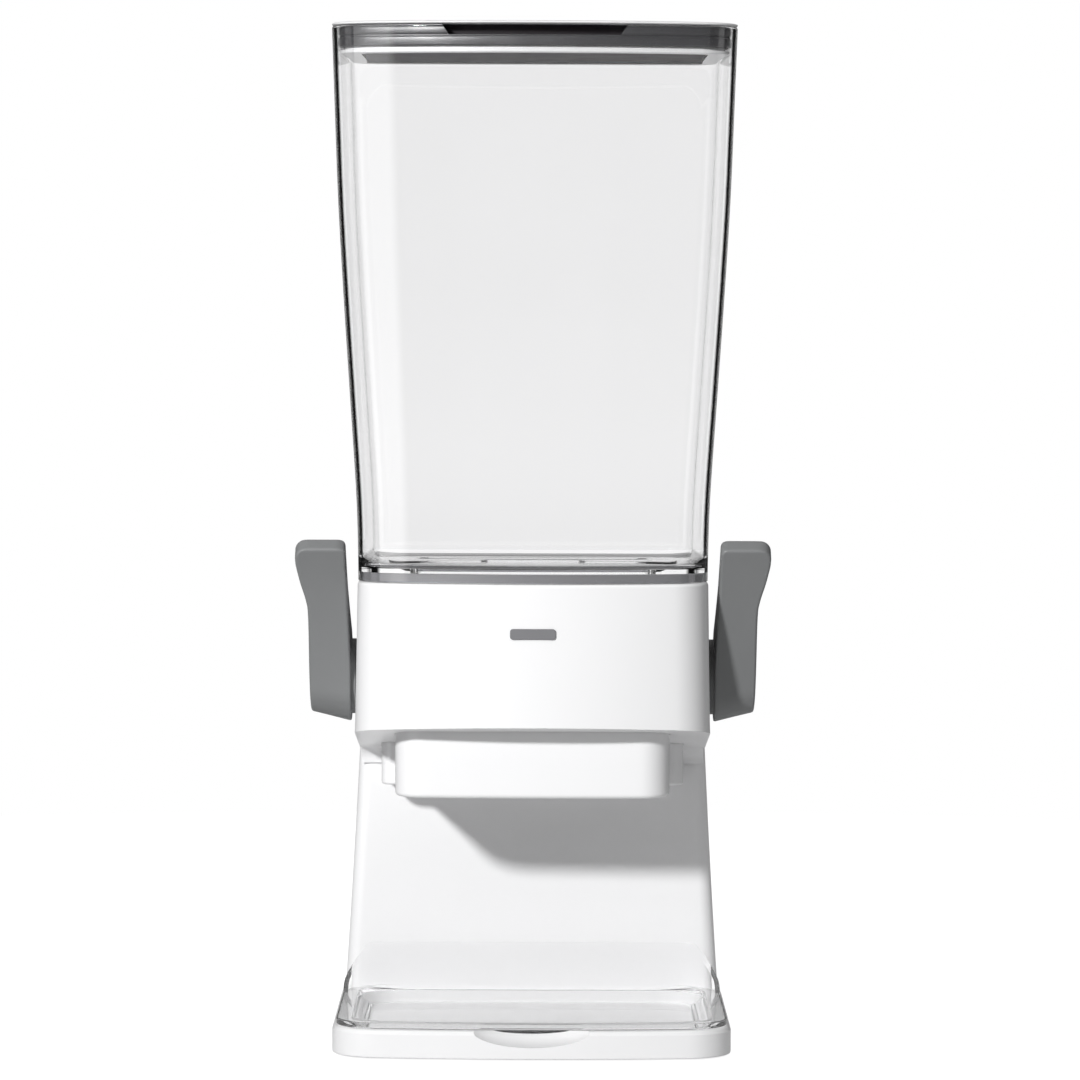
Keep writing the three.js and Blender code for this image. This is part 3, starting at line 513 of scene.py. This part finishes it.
def column_shell():
    outside = loft([level(column_outline(s), s[0]) for s in spline(COLUMN_STATIONS, 4)])
    foot, *middle, top = COLUMN_STATIONS
    hollow = [(foot[0] + WALL, *foot[1:]), *middle, (top[0] + 1, *top[1:])]
    inside = loft([level(column_outline(s, WALL), s[0]) for s in hollow])
    return cut(outside, inside, cover_space(GAP))


SPOUT_NOSE = Outline(66.9, -48, 44, 900, 15, 4)
SPOUT_SHOULDER = Outline(75.3, 24, 61.4, 900, 6, 4)
spout_low, spout_high = edges("spout")
AXIS = np.array([4.0, 178.0])  # y and z of the paddle wheel's axis
BORE = 7.3  # radius of the holes for the shaft's bushes
SPOUT_WALL = 2.4


def underside(lift):
    """Everything below the head's sloping underside."""
    reach, depth = 100, 90
    slope = -UNDERSIDE_RISE / (COLUMN_FRONT - HEAD_FRONT)
    back = HEAD_LOW + lift
    nose = back + UNDERSIDE_RISE + slope * (-reach - HEAD_FRONT)
    profile = [(-reach, depth), (reach, depth), (reach, back), (COLUMN_FRONT, back), (-reach, nose)]
    return extrude(profile, -reach, reach, 0)


def cove():
    """The fillet where the underside turns down into the column."""
    radius = 11
    back = COLUMN_FRONT - GAP
    reach = back - radius
    half = 86.2
    curve = arc(reach, HEAD_LOW + 2 - radius, radius, QUARTER, math.radians(6), 14)
    top = [(back, curve[-1][1]), (back, HEAD_LOW + 4), (reach, HEAD_LOW + 6)]
    profile = [(reach - 4, HEAD_LOW + 2.6), *curve, *top]
    return extrude(profile, -half, half, 0)


def head_housing():
    heights = [130, 145, HEAD_LOW + UNDERSIDE_RISE, 180, 205]
    rings = [level(head_outline(z), z) for z in heights]
    for turn in quarter_turns(5):
        z = HEAD_TOP - HEAD_EDGE * (1 - math.sin(turn))
        rings.append(level(head_outline(z, HEAD_EDGE * (1 - math.cos(turn))), z))
    shell = cut(loft(rings), underside(0))
    soften(shell, 1.5, 4, 50)
    join(shell, cove())
    hollow = loft([level(head_outline(z, WALL), z) for z in (130, 160, HEAD_TOP - WALL)])
    cut(hollow, underside(WALL))
    throat = extrude(rounded_rectangle(-59, 59, -25, 33, 8), HEAD_TOP - 2 * WALL, HEAD_TOP + 5)
    nose = extrude(outline(SPOUT_NOSE, -GAP), 110, spout_high[2] + GAP)
    shoulder = extrude(outline(SPOUT_SHOULDER, -GAP), 110, spout_high[2] + GAP)
    bores = extrude(circle(*AXIS, BORE), -95, 95, 0)
    return cut(shell, hollow, cover_space(GAP), throat, nose, shoulder, bores)


def spout():
    low, high = spout_low[2], spout_high[2]
    nose = block(lambda inset: outline(SPOUT_NOSE, inset), low, high, 2.2, 0.6)
    shoulder = block(lambda inset: outline(SPOUT_SHOULDER, inset), low, high, 1.5, 0.6)
    passage = extrude(outline(SPOUT_NOSE, SPOUT_WALL), low - 1, high + 1)
    behind = SPOUT_SHOULDER._replace(front=SPOUT_NOSE.back)
    pocket = extrude(outline(behind, SPOUT_WALL), low + 2.6, high + 1)
    return cut(join(nose, shoulder), passage, pocket)


stand_for(column_shell(), "column_shell", WHITE)
stand_for(head_housing(), "head_housing", WHITE)
stand_for(spout(), "spout", WHITE)
stand_for(soften(copy_of("rear_cover"), 0.5), "rear_cover", WHITE)

# ---------------------------------------------------------------- hopper and seat ring

SEAT_TOP = edges("hopper_seat_ring")[1][2]
hopper_low, hopper_high = edges("hopper")
HOPPER_BOTTOM = SEAT_TOP + GAP
HOPPER_TOP = hopper_high[2]
SKIRT_EDGE = 0.6  # the rounding of the skirt's lower edge
RIM_EDGE = 0.9
SEAT_RING_INNER = 7.5  # inset of the seat ring's inner edge
# How far the hopper has opened out from its foot (0) to its rim (1), against height.
HOPPER_FLARE = [
    (HOPPER_BOTTOM, 0),
    (266, 0.07),
    (315, 0.31),
    (363, 0.55),
    (411, 0.76),
    (459, 0.9),
    (HOPPER_TOP, 1),
]
FLARE_CURVE = spline(HOPPER_FLARE, 6)


def hopper_spec(z):
    flare = np.interp(z, FLARE_CURVE[:, 0], FLARE_CURVE[:, 1])
    return Outline(84.9 + 13.1 * flare, -68 - 9.5 * flare, 68 + 7.5 * flare, 240 + 30 * flare, 24, 20)


def hopper_ring(z, inset=0.0):
    return level(outline(hopper_spec(z), inset), z)


def lid_scoop(far):
    """The finger scoop under the lid's front edge."""
    low, high = 490.2, HOPPER_TOP + 2
    low_half, high_half = 41, 46
    view = [(-low_half, low), (low_half, low), (high_half, high), (-high_half, high)]
    return extrude(view, -90, far, 1)


def lug(middle, floor):
    """One of the two low rounded blocks on the hopper's floor."""
    left, right = middle - 24, middle + 24

    def shape(inset):
        return rounded_rectangle(left + inset, right - inset, -50 + inset, -36 - inset, 6 - inset)

    return block(shape, floor - 1, floor + 2.4, 0, 1)


def hopper():
    skirt_low = edges("hopper_seat_ring")[0][2]
    heights = [z for z in FLARE_CURVE[:, 0] if HOPPER_BOTTOM + 2 < z < HOPPER_TOP - 2]
    foot, rim = [], []
    for t in quarter_turns(6):
        foot.append((skirt_low + SKIRT_EDGE * (1 - math.cos(t)), SKIRT_EDGE * (1 - math.sin(t))))
        rim.append((HOPPER_TOP - RIM_EDGE * (1 - math.sin(t)), RIM_EDGE * (1 - math.cos(t))))
    outer = loft([hopper_ring(z, inset) for z, inset in [*foot, *((z, 0) for z in heights), *rim]])

    floor = HOPPER_BOTTOM + CLEAR_WALL
    rise, spread = 6, 5
    hollow = []
    for t in quarter_turns(12):
        hollow.append((floor + rise * (1 - math.cos(t)), CLEAR_WALL + spread * (1 - math.sin(t))))
    hollow += [(z, CLEAR_WALL) for z in heights if z > floor + rise + 1]
    hollow += [
        (HOPPER_TOP - 0.5, CLEAR_WALL),
        (HOPPER_TOP - 0.15, CLEAR_WALL - 0.35),
        (HOPPER_TOP + 1, CLEAR_WALL - 1),
    ]
    inner = loft([hopper_ring(z, inset) for z, inset in hollow])

    under_floor = extrude(outline(hopper_spec(HOPPER_BOTTOM), CLEAR_WALL), skirt_low - 1, HOPPER_BOTTOM)
    body = cut(outer, inner, under_floor)
    spigot = extrude(rounded_rectangle(-58.2, 58.2, -24.2, 32.2, 8), hopper_low[2], floor - 0.5)
    join(body, spigot, lug(-46, floor), lug(46, floor))
    outlet = extrude(rounded_rectangle(-56, 56, -22, 30, 8), hopper_low[2] - 2, floor + 20)
    return cut(body, outlet, lid_scoop(-60))


stand_for(hopper(), "hopper", CLEAR)


def seat_ring():
    spec = hopper_spec(HOPPER_BOTTOM)
    low = edges("hopper_seat_ring")[0][2]
    ring = block(lambda inset: outline(spec, CLEAR_WALL + GAP + inset), low, SEAT_TOP, 0.5, 0.5)
    return cut(ring, extrude(outline(spec, SEAT_RING_INNER), low - 1, SEAT_TOP + 1))


stand_for(seat_ring(), "hopper_seat_ring", SEAT_SEAL)

# ---------------------------------------------------------------- lid

LID_PLATE = edges("lid_top_plate")[0][2]
LID_TOP = edges("lid_top_plate")[1][2]
LID_BOTTOM = edges("lid_frame")[0][2]
RIM = hopper_spec(HOPPER_TOP)
FRAME_INSET = 6.2
FRAME_WIDTH = 8


def lid_plate():
    """A thin white plate with rounded edges and a low crown."""
    rings = [(0, 0.9), (0.15, 0.35), (0.45, 0.05), (0.75, 0), (1.0, 0.2), (1.15, 0.7)]
    edge_rise, edge_inset = rings[-1]
    crown, reach = LID_TOP - LID_PLATE - edge_rise, 60
    for t in quarter_turns(9)[1:]:
        rings.append((edge_rise + crown * math.sin(t), edge_inset + reach * (1 - math.cos(t))))
    return loft([level(outline(RIM, inset), LID_PLATE + rise) for rise, inset in rings])


def lid_frame():
    wall = extrude(outline(RIM, FRAME_INSET), LID_BOTTOM, LID_PLATE - GAP)
    flange = block(lambda inset: outline(RIM, 4 + inset), LID_BOTTOM, LID_BOTTOM + 1.6, 0.5, 0.2)
    hollow = extrude(outline(RIM, FRAME_INSET + FRAME_WIDTH), LID_BOTTOM - 1, LID_PLATE + 1)
    return cut(join(wall, flange), hollow, lid_scoop(-58))


def lid_gasket():
    """A soft band with two ribs, each from its lower to its upper end, and a groove between them."""
    root, crest = 3.9, 3
    low_rib = [(485, root), (485.25, 3.3), (485.8, crest), (489, crest), (489.5, 3.25), (489.8, root)]
    high_rib = [(490.5, root), (490.8, 3.25), (491.3, crest), (493.7, crest), (494.3, 3.3), (494.6, root)]
    rim = hopper_spec(494)
    band = loft([level(outline(rim, inset), z) for z, inset in [*low_rib, *high_rib]])
    return cut(band, extrude(outline(rim, FRAME_INSET - GAP), 480, 500), lid_scoop(-60))


def lid_inner_plate():
    inset = FRAME_INSET + FRAME_WIDTH
    pan = block(lambda more: outline(RIM, inset + GAP + more), LID_BOTTOM + 0.5, LID_PLATE - GAP, 0.6)
    return cut(pan, extrude(outline(RIM, inset + 3), LID_BOTTOM + 2.5, LID_PLATE + 1))


stand_for(lid_plate(), "lid_top_plate", WHITE)
stand_for(lid_frame(), "lid_frame", WHITE)
stand_for(lid_gasket(), "lid_gasket", LID_SEAL)
stand_for(lid_inner_plate(), "lid_inner_plate", SMOKE)

# ---------------------------------------------------------------- handles

LEVER_LEAN = 34  # degrees towards the front
LEVER_LENGTH = 81  # from the axis to the tip
LEVER_EDGE = 1.5
HUB_RADIUS = 22.3
HUB_TAPER = 0.25  # how much smaller the hub gets per millimetre outwards
HANDLE_INNER = 89.3
HANDLE_OUTER = 109.6
TIP_FLARE = 6
TIP_HALF = 4.4


def lever_edge(along, outward, radius):
    """The lever's edge on one side (-1 front, +1 back), seen from the side, at heights `along`."""
    if outward < 0:
        meet = math.radians(12)
        pulls = (-TIP_HALF - 1.5, LEVER_LENGTH - 30), (-radius + 7, 26)
    else:
        meet = math.radians(30)
        pulls = (TIP_HALF + 2.5, LEVER_LENGTH - 34), (radius - 9, 28)
    hub = outward * radius * math.cos(meet), radius * math.sin(meet)
    curve = bezier((outward * TIP_HALF, LEVER_LENGTH), *pulls, hub, 40)[::-1]
    round_part = outward * np.sqrt(np.clip(radius**2 - along**2, 0.16, None))
    return np.where(along < hub[1], round_part, np.interp(along, curve[:, 1], curve[:, 0]))


def rounded(corners, radius, steps=5):
    """A closed outline with its corners rounded off."""
    made = []
    for before, corner, after in zip(np.roll(corners, 1, 0), corners, np.roll(corners, -1, 0)):
        ends = []
        for other in (before, after):
            length = np.linalg.norm(other - corner)
            ends.append(corner + (other - corner) * min(radius / length, 0.45))
        made.append(bezier(ends[0], *(end + (corner - end) * 0.6 for end in ends), ends[1], steps))
    return np.concatenate(made)


def lever():
    """The lever upright on its axis: rounded sections from the bottom of the hub up to the tip."""
    low = -HUB_RADIUS * np.cos(np.linspace(0, QUARTER, 16)[:-1])
    rounding = np.linspace(0, QUARTER, 6)
    high = LEVER_LENGTH - LEVER_EDGE * (1 - np.sin(rounding))
    neck_end = LEVER_LENGTH - 7
    along = np.concatenate([low, np.arange(0, neck_end, 1.5), np.linspace(neck_end, high[0], 7)[:-1], high])
    insets = np.concatenate([np.zeros(len(along) - len(high)), LEVER_EDGE * (1 - np.cos(rounding))])

    outside = spline(
        [
            (HANDLE_OUTER - 0.6, -14),
            (HANDLE_OUTER, 12),
            (HANDLE_OUTER + 0.2, 42),
            (HANDLE_OUTER + 1.2, 51),
            (HANDLE_OUTER + 3.8, 61),
            (HANDLE_OUTER + TIP_FLARE - 0.2, 71),
        ],
        6,
    )
    corner = 6
    tip = arc(HANDLE_OUTER + TIP_FLARE - corner, LEVER_LENGTH - corner, corner, 0, QUARTER, 12)
    outer_face = np.concatenate([outside, tip])
    corner = 3.4
    inner_corner = arc(HANDLE_INNER + 5.2, LEVER_LENGTH - corner, corner, math.pi, QUARTER, 12)
    inner_face = np.concatenate([[(HANDLE_INNER, 16), (HANDLE_INNER + 1.2, 50)], inner_corner])

    rings = []
    for height, inset in zip(along, insets):
        inner = np.interp(height, inner_face[:, 1], inner_face[:, 0])
        outer = np.interp(height, outer_face[:, 1], outer_face[:, 0])
        # The tapered hub runs out before the outer face at the very bottom.
        outer = min(outer, HANDLE_INNER + (HUB_RADIUS + height) / HUB_TAPER + 0.5)
        corners = []
        for x, sign in ((inner, -1), (outer, -1), (outer, 1), (inner, 1)):
            radius = HUB_RADIUS - HUB_TAPER * (x - HANDLE_INNER)
            across = float(lever_edge(np.array(height), sign, radius))
            shift = inset if x == inner else -inset
            corners.append((x + shift, across - sign * inset))
        rings.append(level(rounded(np.array(corners), LEVER_EDGE), height))
    return loft(rings)


def handle(side):
    """A leaning lever with its boss, and the holes for the shaft, the screw, its head and the hub cap."""
    beyond = 125
    grip = join(lever(), extrude(circle(0, 0, 18.5), HANDLE_INNER - 2.3, HANDLE_INNER + 2, 0))
    lean = Matrix.Rotation(math.radians(LEVER_LEAN), 4, "X")
    move(grip, Matrix.Translation((0, AXIS[0] * MM, AXIS[1] * MM)) @ lean)
    hexagon = circle(*AXIS, 5.5, 6)
    shaft = extrude(hexagon, 80, 104.3, 0)
    screw = extrude(circle(*AXIS, 2), 90, beyond, 0)
    screw_head = extrude(circle(*AXIS, 4.2), 104.9, beyond, 0)
    cap = extrude(circle(*AXIS, 8.3), HANDLE_OUTER - 1.8, beyond, 0)
    cut(grip, shaft, screw, screw_head, cap)
    return move(grip, Matrix.Scale(side, 4, (1, 0, 0)))


for side, word in ((-1, "left"), (1, "right")):
    stand_for(handle(side), f"{word}_handle", GRIP)
    stand_for(soften(copy_of(f"{word}_hub_cap"), 0.25), f"{word}_hub_cap", GRIP)

# ---------------------------------------------------------------- crumb tray


def crumb_tray():
    back_top = tray_high[2]
    flange = block(lambda inset: outline(TRAY, inset), TRAY_FLANGE, TRAY_RIM, 0.6, 1.1)
    wall = block(lambda inset: outline(TRAY, inset), TRAY_FLANGE, back_top, 0.6)
    cut(wall, extrude(outline(TRAY, 2.4), TRAY_RIM - 1, back_top + 1))
    # Seen from the side, the wall sweeps up from the rim to the raised back.
    low, beyond = TRAY_RIM - 0.4, 120
    t = np.linspace(0, 1, 25)[:, None]
    start, pull, end = (np.array(p, float) for p in ((22, low), (48, TRAY_RIM), (60, back_top + 1)))
    sweep = start * (1 - t) ** 2 + 2 * pull * t * (1 - t) + end * t * t
    above = np.concatenate([[(-beyond, low)], sweep, [(60, 60), (-beyond, 60)]])
    cut(wall, extrude(above, -beyond, beyond, 0))
    # Seen from the front, the raised back has two round corners.
    radius, half = 9, TRAY.half + 1
    view = np.concatenate(
        [
            [(-half, 0), (half, 0)],
            arc(TRAY.half - radius, back_top - radius, radius, 0, QUARTER, 12),
            arc(radius - TRAY.half, back_top - radius, radius, QUARTER, math.pi, 12),
        ]
    )
    combine(wall, extrude(view, -100, 100, 1), "INTERSECT")
    # Height above the dish's floor, and inset: a cove that grows steeper towards the rim.
    cove_in = [(0, 7), (0.25, 5.9), (0.8, 4.7), (1.6, 3.7), (3, 2.5), (5, 1.2)]
    cove_in.append((TRAY_RIM + 0.1 - TRAY_FLOOR, 0))
    dish = loft([level(outline(DISH, inset), TRAY_FLOOR + up) for up, inset in cove_in])
    return cut(join(flange, dish_outside(0), wall), dish)


NOTCH_SHADE_HALF = 25  # half width of the painted shade standing in for the shadowed gap between the tray and the finger notch
NOTCH_SHADE_DROP = 2.6
SEAM_SHADE_LOW, SEAM_SHADE_HIGH = 0.05, 0.5  # the painted shade line standing in for the shadowed gap, above the flange's underside


def tray_painted_shade(nodes, links, x, y, z):
    """Painted shade: a dark line along the tray's front edge for the gap to the base in shadow, and a dark
    patch for the shadowed gap above the finger notch.
    """

    def calc(operation, *values):
        return math_node(nodes, links, operation, *values)

    def above(value, limit):
        return calc("GREATER_THAN", value, limit)

    rise = calc("SUBTRACT", z, TRAY_FLANGE * MM)
    at_front = above((DISH.front - 2.5) * MM, y)
    # Painted shade along the front edge, where the gap under the flange would be in shadow.
    seam_shade = calc("MULTIPLY", above(rise, SEAM_SHADE_LOW * MM), above(SEAM_SHADE_HIGH * MM, rise))
    sideways = calc("DIVIDE", x, NOTCH_SHADE_HALF * MM)
    bulge = calc("SUBTRACT", 1.0, calc("MULTIPLY", sideways, sideways))
    bottom = calc("MULTIPLY", bulge, -NOTCH_SHADE_DROP * MM)
    # Painted shade above the finger notch, where the hollow under the rim would be in shadow.
    notch_shade = calc("MULTIPLY", above(rise, bottom), above(SEAM_SHADE_LOW * MM, rise))
    near_front = above((DISH.front + 6) * MM, y)
    return calc("MAXIMUM", calc("MULTIPLY", seam_shade, at_front), calc("MULTIPLY", notch_shade, near_front))


# The tray's material carries the painted shade of the seam and of the notch gap.
TRAY_CLEAR = clear("tray_plastic_painted_shade", (0.996, 0.996, 0.999), 1.17, 0.04, 0.95, tray_painted_shade)
stand_for(crumb_tray(), "crumb_tray", TRAY_CLEAR, 40)

# ---------------------------------------------------------------- small parts

# Material and edge rounding of the pieces that keep their CAD shape.
SMALL_PARTS = {
    "base_plate": (INNER, 0.3),
    "front_plate": (SEAT_SEAL, 0.25),
    "rotor_chamber": (INNER, 0.2),
    "drive_shaft": (INNER, 0.3),
    "paddle_wheel": (PADDLE, 0.3),
    "left_bush": (INNER, 0.25),
    "right_bush": (INNER, 0.25),
}
for node in frame["nodes"]:
    if "screw" in node:
        SMALL_PARTS[node] = (STEEL, 0.15)
    elif node.startswith("foot_"):
        SMALL_PARTS[node] = (RUBBER, 0.35)
for node in sorted(SMALL_PARTS):
    look, width = SMALL_PARTS[node]
    stand_for(soften(copy_of(node), width, 2), node, look)

# ---------------------------------------------------------------- studio

FLOOR_RADIUS = 1200
FLOOR_GLOW = 0.15  # the floor's light on the object
FLOOR_WHITE = 0.85  # and the light that the eye sees
FLAGS = [(17, 50), (58, 80), (100, 126)]  # degrees from straight behind, on both sides
FLAG_EDGE = 1.5
DARK_FRONT = 0.8  # how dark the studio behind the camera is to rays inside the clear walls
DARK_FRONT_EDGE = (118, 132)
FLAG_FOOT = (8, 5)  # degrees below the horizon where the flags begin to show, and show in full
PANEL = (31, 68)  # degrees left of the front, seen in gloss only
PANEL_LIGHT = 2.5
TOP_LIGHT = 0.5
FRONT_LIGHT = 0.08
SIDE_LIGHT = 0.05


def floor():
    """A white floor that is bright enough to keep shadows faint."""
    ground = mesh_object("floor", level(circle(0, 0, FLOOR_RADIUS, 96), 0), [tuple(range(96))])
    look, nodes, links = shader("floor_white")
    surface = nodes["Principled BSDF"]
    cloud = noise(nodes, links, 3.0)
    grey = blended(nodes, links, cloud, (0.5, 0.5, 0.5), (0.52, 0.52, 0.52))
    links.new(grey, surface.inputs["Base Color"])
    surface.inputs["Roughness"].default_value = 0.9
    surface.inputs["Specular IOR Level"].default_value = 0.0
    surface.inputs["Emission Color"].default_value = (1, 1, 1, 1)
    glow = ranged(nodes, links, seen_directly(nodes, links), FLOOR_GLOW, FLOOR_WHITE, 0, 1)
    links.new(glow, surface.inputs["Emission Strength"])
    ground.data.materials.append(look)


def seen_directly(nodes, links):
    """1 for what the eye sees, also through clear walls, and 0 for light that lands on a surface."""
    path = nodes.new("ShaderNodeLightPath")
    camera_ray, transmission = path.outputs["Is Camera Ray"], path.outputs["Is Transmission Ray"]
    seen = math_node(nodes, links, "MAXIMUM", camera_ray, transmission)
    unbroken = math_node(nodes, links, "LESS_THAN", path.outputs["Diffuse Depth"], 0.5)
    return math_node(nodes, links, "MULTIPLY", seen, unbroken)


def studio():
    """White to the eye and through clear walls, with dark flags at the sides, and soft light elsewhere."""
    world = bpy.data.worlds.new("studio")
    bpy.context.scene.world = world
    world.use_nodes = True
    nodes, links = world.node_tree.nodes, world.node_tree.links

    def calc(operation, *values):
        return math_node(nodes, links, operation, *values)

    def between(angle, low, high, soft):
        up = ranged(nodes, links, angle, 0, 1, math.radians(low - soft), math.radians(low + soft))
        down = ranged(nodes, links, angle, 1, 0, math.radians(high - soft), math.radians(high + soft))
        return calc("MULTIPLY", up, down)

    place = nodes.new("ShaderNodeTexCoord")
    split = nodes.new("ShaderNodeSeparateXYZ")
    links.new(place.outputs["Generated"], split.inputs[0])
    x, y, z = split.outputs
    path = nodes.new("ShaderNodeLightPath")
    from_back = calc("ARCTAN2", calc("ABSOLUTE", x), y)
    flags = between(from_back, *FLAGS[0], FLAG_EDGE)
    for low, high in FLAGS[1:]:
        flags = calc("MAXIMUM", flags, between(from_back, low, high, FLAG_EDGE))
    dark_front = ranged(nodes, links, from_back, 0, DARK_FRONT, *map(math.radians, DARK_FRONT_EDGE))
    foot, full = (-math.sin(math.radians(below)) for below in FLAG_FOOT)
    above_ground = ranged(nodes, links, z, 0, 1, foot, full)
    flags = calc("MULTIPLY", calc("MAXIMUM", flags, dark_front), above_ground)
    left_of_front = calc("ARCTAN2", calc("MULTIPLY", x, -1.0), calc("MULTIPLY", y, -1.0))
    panel = calc("MULTIPLY", between(left_of_front, *PANEL, 1), path.outputs["Is Glossy Ray"])
    top = ranged(nodes, links, z, 0, TOP_LIGHT, 0.1, 0.9)
    front = ranged(nodes, links, y, FRONT_LIGHT, 0, -1, 0)
    panel_and_sides = calc("ADD", calc("MULTIPLY", panel, PANEL_LIGHT), SIDE_LIGHT)
    soft = calc("ADD", calc("ADD", top, front), panel_and_sides)
    direct = seen_directly(nodes, links)
    flagged = calc("MULTIPLY", flags, calc("SUBTRACT", 1.0, path.outputs["Is Camera Ray"]))
    seen = calc("MULTIPLY", direct, calc("SUBTRACT", 1.0, flagged))
    strength = calc("ADD", seen, calc("MULTIPLY", soft, calc("SUBTRACT", 1.0, direct)))
    links.new(strength, nodes["Background"].inputs["Strength"])
    nodes["Background"].inputs["Color"].default_value = (1, 1, 1, 1)


def key_light():
    """A spot lamp with slightly soft shadows, from the front, left and above."""
    azimuth, height, distance = math.radians(26), math.radians(16.8), 2.4
    aim = Vector((0, 0, 0.3))
    level_part = math.cos(height)
    away = Vector((-math.sin(azimuth) * level_part, -math.cos(azimuth) * level_part, math.sin(height)))
    lamp = bpy.data.lights.new("key", "SPOT")
    lamp.shadow_soft_size = 0.09
    lamp.spot_size = math.radians(28)
    lamp.spot_blend = 1.0
    lamp.energy = 205
    holder = bpy.data.objects.new("key", lamp)
    holder.location = aim + away * distance
    holder.rotation_euler = away.to_track_quat("Z", "Y").to_euler()
    bpy.context.scene.collection.objects.link(holder)


def camera():
    """Level with the middle of the hopper, looking slightly down, through a long lens."""
    lens = bpy.data.cameras.new("camera")
    lens.lens = 182.4
    lens.sensor_width = 36
    lens.clip_end = 100
    holder = bpy.data.objects.new("camera", lens)
    holder.location = (0, -2.693, 0.3629)
    holder.rotation_euler = [math.radians(turn) for turn in (90 - 2.495, -0.2, -0.063)]
    bpy.context.scene.collection.objects.link(holder)
    bpy.context.scene.camera = holder


floor()
studio()
key_light()
camera()
bpy.context.scene.view_settings.view_transform = "Standard"
